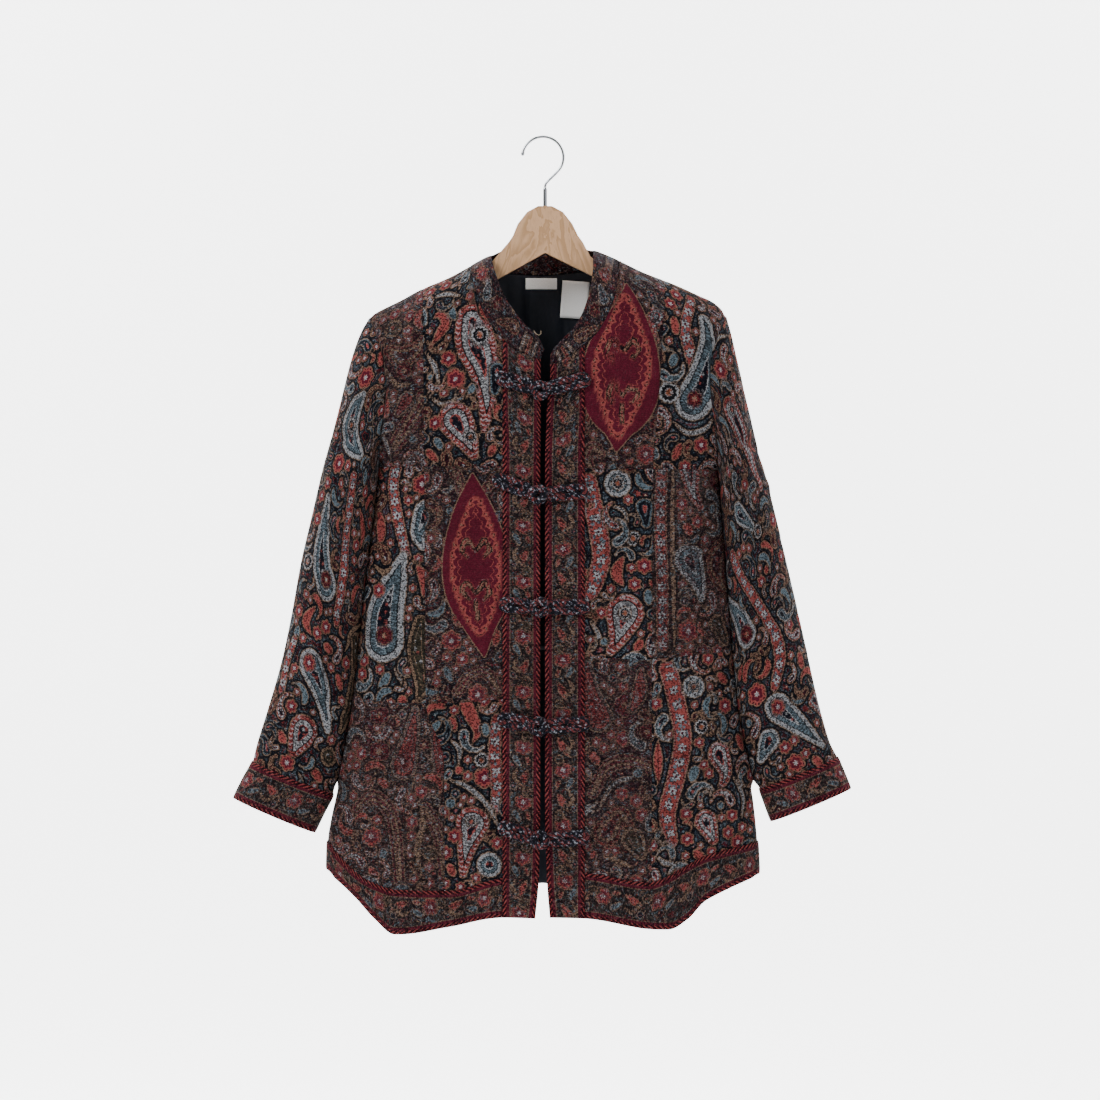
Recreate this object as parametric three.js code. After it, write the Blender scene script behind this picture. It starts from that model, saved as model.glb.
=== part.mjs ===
// A patchwork jacket with a stand collar and five frog fastenings, hanging from a wooden hanger.
// Millimetres, +Z up, the front towards -Y and the wearer's right towards -X.
// The origin is the inside top of the hook's bend, where a rail or a pin carries it.
import * as THREE from "three";

// Cloth and gaps
const CLOTH = 1.8;
const TRIM = 1.4;
const COLLAR_CLOTH = 2.2;
const COLLAR_LIFT = 1.7;
const LINING = 1.0;
const LABEL = 0.5;
const GAP = 0.3;
const FRONT = -1;
const BACK = 1;

// How the body rounds: over the shoulders within this drop, and across by these powers
const SHOULDER_ROUND = 60;
const ACROSS_INNER = 2.6;
const ACROSS_OUTER = 1 / 2.2;

// Half depth of the body by height
const DEPTH = [
  { z: -930, front: 62, back: 58 },
  { z: -760, front: 58, back: 54 },
  { z: -600, front: 55, back: 51 },
  { z: -385, front: 54, back: 52 },
  { z: -260, front: 50, back: 50 },
  { z: -118, front: 48, back: 48 },
];

// Edges of the centre front opening, as distances from the centre line, by height
const OPENING = [
  { z: -914, right: 9, left: 9 },
  { z: -862, right: 4, left: 5 },
  { z: -780, right: 2.5, left: 3 },
  { z: -400, right: 2.5, left: 3 },
  { z: -300, right: 2, left: 5 },
  { z: -262, right: 2, left: 9 },
];

// Wearer's right side, with x as the distance from the centre line
const RIGHT = {
  name: "right",
  sign: -1,
  shoulderPoint: { x: 203, z: -209 },
  underarm: { x: 191.5, z: -385 },
  neckX: 85,
  placketX: 46,
  lowerSeamZ: -655,
  shoulderLine: [
    { x: 0, z: -118 },
    { x: 30, z: -124 },
    { x: 60, z: -136 },
    { x: 85, z: -150 },
    { x: 110, z: -163.5 },
    { x: 144, z: -178 },
    { x: 166, z: -190 },
    { x: 194, z: -204 },
    { x: 208, z: -214 },
  ],
  neckFront: [
    { x: 2, z: -261 },
    { x: 18, z: -256 },
    { x: 33, z: -248 },
    { x: 50, z: -233 },
    { x: 67, z: -209 },
    { x: 79, z: -178 },
    { x: 85, z: -150 },
  ],
  neckBack: [
    { x: 0, z: -157 },
    { x: 30, z: -156 },
    { x: 60, z: -153 },
    { x: 85, z: -150 },
  ],
  // Half width by height; above the underarm it is the form that the armhole is cut from
  side: [
    { z: -930, x: 254 },
    { z: -855, x: 252 },
    { z: -821, x: 251 },
    { z: -793, x: 246.5 },
    { z: -766, x: 240.5 },
    { z: -657, x: 221 },
    { z: -500, x: 203 },
    { z: -385, x: 191.5 },
    { z: -372, x: 197 },
    { z: -350, x: 208 },
    { z: -320, x: 220 },
    { z: -280, x: 230 },
    { z: -240, x: 236 },
  ],
  armhole: [
    { z: -385, x: 191.5 },
    { z: -360, x: 190.5 },
    { z: -330, x: 185 },
    { z: -297, x: 182 },
    { z: -262, x: 185 },
    { z: -232, x: 193 },
    { z: -209, x: 203 },
  ],
  // Seam between the inner and outer columns of patches
  seam: [
    { z: -930, x: 112 },
    { z: -700, x: 114 },
    { z: -640, x: 135 },
    { z: -400, x: 137 },
    { z: -180, x: 140 },
  ],
  hemFront: [
    { x: 9, z: -908, band: -859 },
    { x: 44, z: -907, band: -861 },
    { x: 108, z: -918, band: -876 },
    { x: 171, z: -927, band: -875 },
    { x: 195, z: -909, band: -868 },
    { x: 216, z: -886, band: -856 },
    { x: 252, z: -855, band: -822 },
  ],
  hemBack: [
    { x: 0, z: -876, band: -832 },
    { x: 120, z: -884, band: -840 },
    { x: 190, z: -879, band: -838 },
    { x: 252, z: -855, band: -822 },
  ],
  // Seam of the collar (its distance from the centre) with the collar's top edge above it
  collarFront: [
    { seam: 2, x: -2.5, z: -249, lean: 6 },
    { seam: 9, x: 2, z: -238.5, lean: 8 },
    { seam: 18, x: 9, z: -230, lean: 9 },
    { seam: 33, x: 21, z: -218, lean: 9 },
    { seam: 50, x: 34, z: -202, lean: 8 },
    { seam: 67, x: 46, z: -182, lean: 8 },
    { seam: 79, x: 55, z: -158, lean: 6 },
    { seam: 85, x: 61, z: -137, lean: 0 },
  ],
  collarBack: [
    { seam: 0, x: 0, z: -126, lean: 6 },
    { seam: 30, x: 23, z: -127, lean: 6 },
    { seam: 60, x: 46, z: -129.5, lean: 6 },
    { seam: 85, x: 61, z: -137, lean: 0 },
  ],
  // Rings of the sleeve after its armhole: outer and underarm points, half depth, share of the armhole's form
  sleeve: [
    { outX: 213, outZ: -228, inX: 193.6, inZ: -399, depth: 35, arm: 0.75 },
    { outX: 223, outZ: -256, inX: 195.6, inZ: -416, depth: 36, arm: 0.5 },
    { outX: 232, outZ: -290, inX: 198.8, inZ: -441, depth: 37, arm: 0.25 },
    { outX: 243, outZ: -334, inX: 203.4, inZ: -474, depth: 37, arm: 0.08 },
    { outX: 257, outZ: -386, inX: 208.5, inZ: -514, depth: 37, arm: 0 },
    { outX: 270, outZ: -442, inX: 213.5, inZ: -556, depth: 36, arm: 0 },
    { outX: 283, outZ: -498, inX: 218, inZ: -598, depth: 35, arm: 0 },
    { outX: 293, outZ: -554, inX: 222.5, inZ: -640, depth: 34, arm: 0 },
    { outX: 305, outZ: -611, inX: 228, inZ: -680, depth: 33, arm: 0 },
    { outX: 321, outZ: -667, inX: 236, inZ: -722, depth: 32, arm: 0 },
    { outX: 334, outZ: -709, inX: 242, inZ: -752, depth: 31, arm: 0 },
    { outX: 339, outZ: -729, inX: 245, inZ: -767, depth: 30.5, arm: 0 },
    { outX: 350, outZ: -750, inX: 256, inZ: -789, depth: 30, arm: 0 },
    { outX: 361, outZ: -772, inX: 267, inZ: -812, depth: 30, arm: 0 },
  ],
};

// Wearer's left side, which hangs a little higher at the neck and shoulder
const LEFT = {
  name: "left",
  sign: 1,
  shoulderPoint: { x: 215, z: -209 },
  underarm: { x: 206, z: -388 },
  neckX: 90,
  placketX: 49,
  lowerSeamZ: -608,
  shoulderLine: [
    { x: 0, z: -118 },
    { x: 30, z: -121 },
    { x: 60, z: -130 },
    { x: 90, z: -143.5 },
    { x: 118, z: -157 },
    { x: 154, z: -171 },
    { x: 185, z: -185 },
    { x: 198, z: -191 },
    { x: 210, z: -201 },
    { x: 218, z: -214 },
  ],
  neckFront: [
    { x: 9, z: -267 },
    { x: 18, z: -264.5 },
    { x: 33, z: -256 },
    { x: 48, z: -245 },
    { x: 63, z: -231 },
    { x: 75, z: -211 },
    { x: 84, z: -188 },
    { x: 88, z: -168 },
    { x: 90, z: -143.5 },
  ],
  neckBack: [
    { x: 0, z: -157 },
    { x: 30, z: -155 },
    { x: 60, z: -150 },
    { x: 90, z: -143.5 },
  ],
  side: [
    { z: -930, x: 254 },
    { z: -860, x: 253 },
    { z: -835, x: 252 },
    { z: -779, x: 247 },
    { z: -740, x: 240 },
    { z: -657, x: 224.5 },
    { z: -500, x: 212 },
    { z: -388, x: 206 },
    { z: -376, x: 211 },
    { z: -350, x: 220 },
    { z: -320, x: 229 },
    { z: -280, x: 236 },
    { z: -240, x: 240 },
  ],
  armhole: [
    { z: -388, x: 206 },
    { z: -345, x: 201.5 },
    { z: -285, x: 195 },
    { z: -262, x: 195.5 },
    { z: -235, x: 203 },
    { z: -209, x: 215 },
  ],
  seam: [
    { z: -930, x: 126 },
    { z: -600, x: 127 },
    { z: -400, x: 128 },
    { z: -300, x: 138 },
    { z: -165, x: 146 },
  ],
  hemFront: [
    { x: 9, z: -907, band: -853 },
    { x: 48, z: -908, band: -855 },
    { x: 123, z: -920, band: -866 },
    { x: 146, z: -921, band: -859 },
    { x: 168, z: -910, band: -847 },
    { x: 190, z: -888, band: -836 },
    { x: 253, z: -860, band: -822 },
  ],
  hemBack: [
    { x: 0, z: -876, band: -832 },
    { x: 120, z: -884, band: -840 },
    { x: 180, z: -876, band: -836 },
    { x: 253, z: -860, band: -822 },
  ],
  collarFront: [
    { seam: 9, x: 8.5, z: -257, lean: 6 },
    { seam: 18, x: 12, z: -248.5, lean: 8 },
    { seam: 33, x: 21, z: -239, lean: 9 },
    { seam: 48, x: 31.5, z: -228, lean: 9 },
    { seam: 63, x: 43, z: -213, lean: 8 },
    { seam: 75, x: 51, z: -194, lean: 8 },
    { seam: 84, x: 56.5, z: -171, lean: 7 },
    { seam: 88, x: 59, z: -150, lean: 4 },
    { seam: 90, x: 60, z: -131, lean: 0 },
  ],
  collarBack: [
    { seam: 0, x: 0, z: -126, lean: 6 },
    { seam: 30, x: 22, z: -126, lean: 6 },
    { seam: 60, x: 43, z: -126.5, lean: 6 },
    { seam: 90, x: 60, z: -131, lean: 0 },
  ],
  sleeve: [
    { outX: 221, outZ: -230, inX: 208, inZ: -403, depth: 35, arm: 0.75 },
    { outX: 227, outZ: -256, inX: 209.6, inZ: -419, depth: 36, arm: 0.5 },
    { outX: 235, outZ: -290, inX: 212, inZ: -443, depth: 37, arm: 0.25 },
    { outX: 246, outZ: -334, inX: 215, inZ: -475, depth: 37, arm: 0.08 },
    { outX: 260, outZ: -386, inX: 218, inZ: -514, depth: 37, arm: 0 },
    { outX: 273, outZ: -442, inX: 221.5, inZ: -556, depth: 36, arm: 0 },
    { outX: 286, outZ: -498, inX: 225, inZ: -598, depth: 35, arm: 0 },
    { outX: 299, outZ: -554, inX: 228, inZ: -636, depth: 34, arm: 0 },
    { outX: 311.5, outZ: -611, inX: 232, inZ: -674, depth: 33, arm: 0 },
    { outX: 324.5, outZ: -667, inX: 241, inZ: -714, depth: 32, arm: 0 },
    { outX: 337, outZ: -709, inX: 250, inZ: -746, depth: 31, arm: 0 },
    { outX: 344.6, outZ: -724, inX: 254, inZ: -760.5, depth: 30.5, arm: 0 },
    { outX: 353, outZ: -744, inX: 261, inZ: -780, depth: 30, arm: 0 },
    { outX: 360, outZ: -761, inX: 268, inZ: -799, depth: 30, arm: 0 },
  ],
};

// Soft vertical folds: a ridge (or a trough) from its top to its foot, with its half width and height
const FOLDS = [
  { face: FRONT, side: -1, topX: 112, topZ: -430, footX: 150, footZ: -900, width: 24, height: 7 },
  { face: FRONT, side: -1, topX: 168, topZ: -400, footX: 208, footZ: -880, width: 17, height: 6 },
  { face: FRONT, side: -1, topX: 70, topZ: -520, footX: 78, footZ: -900, width: 20, height: -4 },
  { face: FRONT, side: 1, topX: 100, topZ: -470, footX: 128, footZ: -900, width: 24, height: 7 },
  { face: FRONT, side: 1, topX: 172, topZ: -405, footX: 205, footZ: -880, width: 18, height: 6 },
  { face: FRONT, side: 1, topX: 140, topZ: -520, footX: 168, footZ: -900, width: 17, height: -4 },
  { face: BACK, side: -1, topX: 60, topZ: -420, footX: 88, footZ: -880, width: 26, height: 7 },
  { face: BACK, side: -1, topX: 150, topZ: -400, footX: 182, footZ: -880, width: 22, height: 7 },
  { face: BACK, side: 1, topX: 40, topZ: -430, footX: 52, footZ: -880, width: 26, height: 6 },
  { face: BACK, side: 1, topX: 142, topZ: -400, footX: 166, footZ: -880, width: 24, height: 8 },
];

// Rows of the body's grid: drops of the upper rows on a body of the drop below, then the lower rows
const ROW_DROPS = [0, 2, 8, 18, 31, 46, 62, 90, 120, 147, 165, 174, 177];
const ROW_DROP_END = 177;
const ROWS_TO_LOWER_SEAM = 4;
const ROWS_TO_BAND = 4;
const ROWS_IN_BAND = 2;
const BAND_LEVEL = -862;
const UNDERARM_ROW = ROW_DROPS.length - 1;
const LOWER_SEAM_ROW = UNDERARM_ROW + ROWS_TO_LOWER_SEAM;
const BAND_ROW = LOWER_SEAM_ROW + ROWS_TO_BAND;
const HEM_ROW = BAND_ROW + ROWS_IN_BAND;

// Columns of the body's grid, as shares of the way from one stop to the next
const TO_PLACKET_EDGE = [0.33, 0.67, 1];
const TO_NECK_CORNER = [0.32, 0.62, 0.86, 1];
const TO_SEAM = [0.5, 1];
const TO_SIDE = [0.22, 0.44, 0.64, 0.81, 0.93, 1];
const BACK_TO_NECK_CORNER = [0.25, 0.5, 0.75, 1];
const PLACKET_COLUMN = TO_PLACKET_EDGE.length;
const NECK_COLUMN = PLACKET_COLUMN + TO_NECK_CORNER.length;
const SEAM_COLUMN = NECK_COLUMN + TO_SEAM.length;
const SIDE_COLUMN = SEAM_COLUMN + TO_SIDE.length;

// The five frogs by height: knot, then the outer ends of the two double cords
const FROGS = [
  { knotX: -2, knotZ: -297, rightX: -51, rightZ: -282, leftX: 52, leftZ: -284 },
  { knotX: -5, knotZ: -418, rightX: -54, rightZ: -400, leftX: 49, leftZ: -414 },
  { knotX: -3, knotZ: -548, rightX: -47, rightZ: -545, leftX: 51, leftZ: -548 },
  { knotX: -5, knotZ: -686, rightX: -48, rightZ: -677, leftX: 51, leftZ: -683 },
  { knotX: -3, knotZ: -817, rightX: -48, rightZ: -802, leftX: 51, leftZ: -814 },
];
const KNOT_RADIUS = 8.5;
const KNOT_HALF_DEPTH = 6.5;
const CORD_WIDTH = 9.6;
const CORD_HEIGHT = 5.2;
const CORD_VALLEY = 1.6;
const FROG_LIFT = TRIM + 2 * GAP + 0.1;

// Hanger: a flat bell-topped board, a wire hook and a short sleeve
const BOARD_THICK = 12;
const BOARD_TOP = [
  { x: -72, z: -153 },
  { x: -58, z: -144 },
  { x: -39, z: -121.7 },
  { x: -34.5, z: -114.7 },
  { x: -29, z: -101 },
  { x: -18, z: -87 },
  { x: -5, z: -80 },
  { x: 11, z: -80 },
  { x: 24, z: -87 },
  { x: 35, z: -101 },
  { x: 41.5, z: -114.7 },
  { x: 47, z: -122 },
  { x: 56, z: -139 },
  { x: 72, z: -152 },
];
const BOARD_APEX = { x: 3, z: -134.6 };
const ARM_CLEARANCE = 4.6;
const NECK_CLEARANCE = 6;
const ARM_HEIGHT = { neck: 23, end: 17 };
const ARM_END = { right: 196, left: 207 };
const WIRE = 1.5;
const HOOK_RADIUS = 24;
const HOOK_CENTRE = { x: 0.5, z: WIRE - HOOK_RADIUS };
const SHANK_X = 3;
const SLEEVE_TOP = -58;
const BOARD_TOP_Z = -80;
const SLEEVE_RADIUS = 2.4;

// Labels on the lining: centre, size and tilt
const LABELS = [
  { name: "label_main", x: -1.5, z: -168, wide: 37, high: 13, tilt: 0 },
  { name: "label_care", x: 38, z: -187, wide: 32, high: 44, tilt: 0.07 },
];

// Lining: how far it reaches across and down, and where it leaves the shoulder free
const LINING_HALF_WIDTH = 128;
const LINING_FOOT = -600;
const LINING_GAP = 1.8;
const LINING_SHOULDER_DROP = 26;
const PLEAT = { x: 0, half: 24, raise: 1.2 };

// Value of a table's column where its key is at: smooth between the rows, constant past the ends.
function read(table, key, column, at) {
  const rows = table[0][key] < table[table.length - 1][key] ? table : [...table].reverse();
  const last = rows.length - 1;
  if (at <= rows[0][key]) return rows[0][column];
  if (at >= rows[last][key]) return rows[last][column];
  let i = 0;
  while (rows[i + 1][key] < at) i += 1;
  const secant = (n) => (rows[n + 1][column] - rows[n][column]) / (rows[n + 1][key] - rows[n][key]);
  const slope = (n) => {
    if (n === 0) return secant(0);
    if (n === last) return secant(last - 1);
    const [a, b] = [secant(n - 1), secant(n)];
    return a * b <= 0 ? 0 : (2 * a * b) / (a + b);
  };
  const step = rows[i + 1][key] - rows[i][key];
  const s = (at - rows[i][key]) / step;
  const rise = s * s * (3 - 2 * s);
  const bend = step * (slope(i) * s * (1 - s) ** 2 - slope(i + 1) * s * s * (1 - s));
  return rows[i][column] + rise * (rows[i + 1][column] - rows[i][column]) + bend;
}

const mix = (a, b, s) => a + (b - a) * s;
const clamp01 = (s) => Math.min(1, Math.max(0, s));
const ease = (s) => clamp01(s) ** 2 * (3 - 2 * clamp01(s));
const sideOf = (x) => (x < 0 ? RIGHT : LEFT);

function foldHeight(face, x, z) {
  let sum = 0;
  for (const fold of FOLDS) {
    if (fold.face !== face) continue;
    const s = (z - fold.topZ) / (fold.footZ - fold.topZ);
    const centre = fold.side * mix(fold.topX, fold.footX, clamp01(s));
    sum += fold.height * ease(s) * Math.exp(-(((x - centre) / fold.width) ** 2));
  }
  return sum;
}

// Distance of the body's outer surface from the plane of the hanger, at a place seen from the front.
function bodyDepth(face, x, z) {
  const side = sideOf(x);
  const t = clamp01(Math.abs(x) / read(side.side, "z", "x", z));
  const across = (1 - t ** ACROSS_INNER) ** ACROSS_OUTER;
  const drop = read(side.shoulderLine, "x", "z", Math.abs(x)) - z;
  const over = Math.sqrt(1 - (1 - clamp01(drop / SHOULDER_ROUND)) ** 2);
  const depth = read(DEPTH, "z", face === FRONT ? "front" : "back", z);
  return depth * across * over + foldHeight(face, x, z) * (1 - t ** 6);
}

const bodyPoint = (face, x, z) => new THREE.Vector3(x, face * bodyDepth(face, x, z), z);

// Top edge of a panel: the neckline inside the neck corner, the shoulder seam outside it.
function topEdge(side, face, x) {
  const neck = face === FRONT ? side.neckFront : side.neckBack;
  return x < side.neckX ? read(neck, "x", "z", x) : read(side.shoulderLine, "x", "z", x);
}

// Height of row number row at the distance x from the centre line.
function rowHeight(side, face, row, x) {
  const hem = face === FRONT ? side.hemFront : side.hemBack;
  if (row <= UNDERARM_ROW) {
    const scale = (side.shoulderPoint.z - side.underarm.z) / ROW_DROP_END;
    const fade = 1 - ease((ROW_DROPS[row] - SHOULDER_ROUND) / (ROW_DROP_END - SHOULDER_ROUND));
    const shift = topEdge(side, face, x) - side.shoulderPoint.z;
    return side.shoulderPoint.z - ROW_DROPS[row] * scale + fade * shift;
  }
  if (row <= BAND_ROW) {
    const level =
      row <= LOWER_SEAM_ROW
        ? mix(side.underarm.z, side.lowerSeamZ, (row - UNDERARM_ROW) / ROWS_TO_LOWER_SEAM)
        : mix(side.lowerSeamZ, BAND_LEVEL, (row - LOWER_SEAM_ROW) / ROWS_TO_BAND);
    const share = ((side.underarm.z - level) / (side.underarm.z - BAND_LEVEL)) ** 2;
    return level + share * (read(hem, "x", "band", x) - BAND_LEVEL);
  }
  return mix(read(hem, "x", "band", x), read(hem, "x", "z", x), (row - BAND_ROW) / ROWS_IN_BAND);
}

// Outer end of a row: on the armhole down to the underarm, then on the side seam.
function rowEnd(side, face, row) {
  const near = row <= UNDERARM_ROW ? side.shoulderPoint.x : side.hemBack[side.hemBack.length - 1].x;
  const z = rowHeight(side, face, row, near);
  const edge = row < UNDERARM_ROW ? side.armhole : side.side;
  return { x: read(edge, "z", "x", z), z };
}

// Distances from the centre line of the columns of one row.
function columnStops(side, face, row, end) {
  const shares = face === FRONT
    ? [TO_PLACKET_EDGE, TO_NECK_CORNER, TO_SEAM, TO_SIDE]
    : [BACK_TO_NECK_CORNER, TO_SEAM, TO_SIDE];
  const middle = rowHeight(side, face, row, side.placketX);
  const stops = face === FRONT
    ? [read(OPENING, "z", side.name, middle), side.placketX, side.neckX]
    : [0, side.neckX];
  stops.push(read(side.seam, "z", "x", end.z), end.x);
  const list = [stops[0]];
  shares.forEach((part, i) => part.forEach((s) => list.push(mix(stops[i], stops[i + 1], s))));
  return list;
}

// Grid of one side of a panel, from the centre outwards and from the top down.
function sideGrid(side, face) {
  const rows = [];
  for (let row = 0; row <= HEM_ROW; row += 1) {
    const end = rowEnd(side, face, row);
    const xs = columnStops(side, face, row, end);
    rows.push(xs.map((x, i) => {
      const z = i === xs.length - 1 ? end.z : rowHeight(side, face, row, x);
      const point = bodyPoint(face, side.sign * x, z);
      const onShoulder = row === 0 && x > side.neckX - GAP;
      const onSideSeam = row >= UNDERARM_ROW && i === xs.length - 1;
      if (onShoulder || onSideSeam) point.y = (face * GAP) / 2;
      return point;
    }));
  }
  return rows;
}

// Outward unit directions at the points of a grid, turned to agree with the hint.
function outward(grid, hint, wrap = false) {
  const [rows, cols] = [grid.length, grid[0].length];
  const at = (r, c) => {
    const row = Math.min(rows - 1, Math.max(0, r));
    const col = wrap ? (c + cols) % cols : Math.min(cols - 1, Math.max(0, c));
    return grid[row][col];
  };
  return grid.map((line, r) => line.map((point, c) => {
    const down = at(r + 1, c).clone().sub(at(r - 1, c));
    const along = at(r, c + 1).clone().sub(at(r, c - 1));
    const dir = down.cross(along).normalize();
    return dir.dot(hint(point, r, c)) < 0 ? dir.negate() : dir;
  }));
}

const flattenY = (dir) => dir.setY(0).normalize();

// Cloth at the armhole is cut towards the middle of the hole, so that sleeve and body meet all round.
function armholeDirection(side, point) {
  const middle = (side.shoulderPoint.z + side.underarm.z) / 2;
  return new THREE.Vector3(0, point.y, point.z - middle).normalize();
}

function shapeEdges(panel, side, outerColumn, isShoulder) {
  panel.grid.forEach((line, r) => {
    if (r <= UNDERARM_ROW) {
      panel.dirs[r][outerColumn].copy(armholeDirection(side, line[outerColumn]));
    } else flattenY(panel.dirs[r][outerColumn]);
  });
  panel.dirs[0].forEach((dir, c) => {
    if (c !== outerColumn && isShoulder(c)) flattenY(dir);
  });
}

function frontPanel(side) {
  const grid = sideGrid(side, FRONT);
  const panel = { grid, dirs: outward(grid, () => new THREE.Vector3(0, -1, 0)) };
  shapeEdges(panel, side, SIDE_COLUMN, (c) => c >= NECK_COLUMN);
  return panel;
}

function backPanel() {
  const [right, left] = [sideGrid(RIGHT, BACK), sideGrid(LEFT, BACK)];
  const grid = right.map((line, r) => [...[...line].reverse(), ...left[r].slice(1)]);
  const panel = { grid, dirs: outward(grid, () => new THREE.Vector3(0, 1, 0)) };
  const last = grid[0].length - 1;
  const corner = TO_SIDE.length + TO_SEAM.length;
  shapeEdges(panel, RIGHT, 0, (c) => c <= corner);
  shapeEdges(panel, LEFT, last, (c) => c >= last - corner);
  return panel;
}

// Part of a panel between rows r0 and r1 and columns c0 and c1, drawn in by half a gap at its seams.
function cut(panel, r0, r1, c0, c1, seams = {}) {
  const take = (rows) => rows.slice(r0, r1 + 1).map((line) => line.slice(c0, c1 + 1).map((p) => p.clone()));
  const part = { grid: take(panel.grid), dirs: take(panel.dirs) };
  const { grid } = part;
  const [rows, cols] = [grid.length, grid[0].length];
  const draw = (edge, next, by) => {
    const away = next.clone().sub(edge);
    edge.addScaledVector(away.normalize(), by);
  };
  for (let c = 0; c < cols; c += 1) {
    if (seams.top) draw(grid[0][c], grid[1][c], seams.top);
    if (seams.bottom) draw(grid[rows - 1][c], grid[rows - 2][c], seams.bottom);
  }
  for (let r = 0; r < rows; r += 1) {
    if (seams.inner) draw(grid[r][0], grid[r][1], seams.inner);
    if (seams.outer) draw(grid[r][cols - 1], grid[r][cols - 2], seams.outer);
  }
  return part;
}

// Closed geometry from points and triangles, its faces turned out.
function closedGeometry(points, triangles) {
  let volume = 0;
  const cross = new THREE.Vector3();
  for (const [a, b, c] of triangles) volume += points[a].dot(cross.crossVectors(points[b], points[c]));
  const order = volume < 0 ? triangles.map(([a, b, c]) => [a, c, b]) : triangles;
  const geometry = new THREE.BufferGeometry();
  geometry.setAttribute("position", new THREE.Float32BufferAttribute(points.flatMap((p) => p.toArray()), 3));
  geometry.setIndex(order.flat());
  geometry.computeVertexNormals();
  return geometry;
}

// Cloth between two distances from a panel's points; a wrapped panel closes on itself as a tube.
function clothGeometry(panel, low, high, wrap = false) {
  const [rows, cols] = [panel.grid.length, panel.grid[0].length];
  const points = [];
  for (const by of [high, low]) {
    panel.grid.forEach((line, r) => line.forEach((point, c) => {
      points.push(point.clone().addScaledVector(panel.dirs[r][c], by));
    }));
  }
  const index = (layer, r, c) => layer * rows * cols + r * cols + (c % cols);
  const triangles = [];
  const quad = (a, b, c, d) => triangles.push([a, b, c], [a, c, d]);
  const steps = wrap ? cols : cols - 1;
  for (let r = 0; r < rows - 1; r += 1) {
    for (let c = 0; c < steps; c += 1) {
      quad(index(0, r, c), index(0, r, c + 1), index(0, r + 1, c + 1), index(0, r + 1, c));
      const inner = [index(1, r, c), index(1, r + 1, c), index(1, r + 1, c + 1), index(1, r, c + 1)];
      triangles.push([inner[0], inner[1], inner[2]], [inner[0], inner[2], inner[3]]);
    }
  }
  for (let c = 0; c < steps; c += 1) {
    quad(index(0, 0, c + 1), index(0, 0, c), index(1, 0, c), index(1, 0, c + 1));
    const r = rows - 1;
    quad(index(0, r, c), index(0, r, c + 1), index(1, r, c + 1), index(1, r, c));
  }
  for (let r = 0; !wrap && r < rows - 1; r += 1) {
    quad(index(0, r, 0), index(0, r + 1, 0), index(1, r + 1, 0), index(1, r, 0));
    const c = cols - 1;
    quad(index(0, r + 1, c), index(0, r, c), index(1, r, c), index(1, r + 1, c));
  }
  return closedGeometry(points, triangles);
}

// Solid through rings of equal length, each closed by a fan from its first point.
function loft(rings) {
  const size = rings[0].length;
  const triangles = [];
  for (let r = 0; r < rings.length - 1; r += 1) {
    for (let c = 0; c < size; c += 1) {
      const [a, b] = [r * size + c, r * size + ((c + 1) % size)];
      triangles.push([a, b, b + size], [a, b + size, a + size]);
    }
  }
  const end = (rings.length - 1) * size;
  for (let c = 1; c < size - 1; c += 1) {
    triangles.push([0, c + 1, c], [end, end + c, end + c + 1]);
  }
  return closedGeometry(rings.flat(), triangles);
}

// Sleeve: rings from the armhole to the cuff edge, with the armhole's form fading out down the arm.
function sleevePanel(side, front, back) {
  const lastBack = side === RIGHT ? 0 : back.grid[0].length - 1;
  const hole = [];
  for (let r = 0; r <= UNDERARM_ROW; r += 1) hole.push(front.grid[r][SIDE_COLUMN]);
  for (let r = UNDERARM_ROW - 1; r > 0; r -= 1) hole.push(back.grid[r][lastBack]);
  const start = side.sleeve[0];
  const ring0 = {
    outX: side.shoulderPoint.x, outZ: hole[0].z, inX: side.underarm.x, inZ: hole[UNDERARM_ROW].z,
    depth: start.depth - 1, arm: 1,
  };
  const middle = (ring0.outZ + ring0.inZ) / 2;
  const halfHeight = (ring0.outZ - ring0.inZ) / 2;
  const angles = hole.map((p) => Math.atan2(-p.y / ring0.depth, (p.z - middle) / halfHeight));
  const planar = (ring, angle) => {
    const reach = Math.cos(angle);
    return new THREE.Vector3(
      side.sign * mix(ring.inX, ring.outX, (1 + reach) / 2),
      -ring.depth * Math.sin(angle),
      mix(ring.inZ, ring.outZ, (1 + reach) / 2),
    );
  };
  const offsets = hole.map((p, i) => p.clone().sub(planar(ring0, angles[i])));
  const rings = [ring0, ...side.sleeve];
  const grid = rings.map((ring) => angles.map((angle, i) => {
    const point = planar(ring, angle).addScaledVector(offsets[i], ring.arm);
    if (ring === ring0) point.x += side.sign * (GAP + 0.1);
    return point;
  }));
  grid[0][0].y = 0;
  grid[0][UNDERARM_ROW].y = 0;
  const centres = rings.map((ring) => planar(ring, Math.PI / 2).setY(0));
  const dirs = outward(grid, (point, r) => point.clone().sub(centres[r]), true);
  grid[0].forEach((point, c) => dirs[0][c].copy(armholeDirection(side, point)));
  return { grid, dirs };
}

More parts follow.
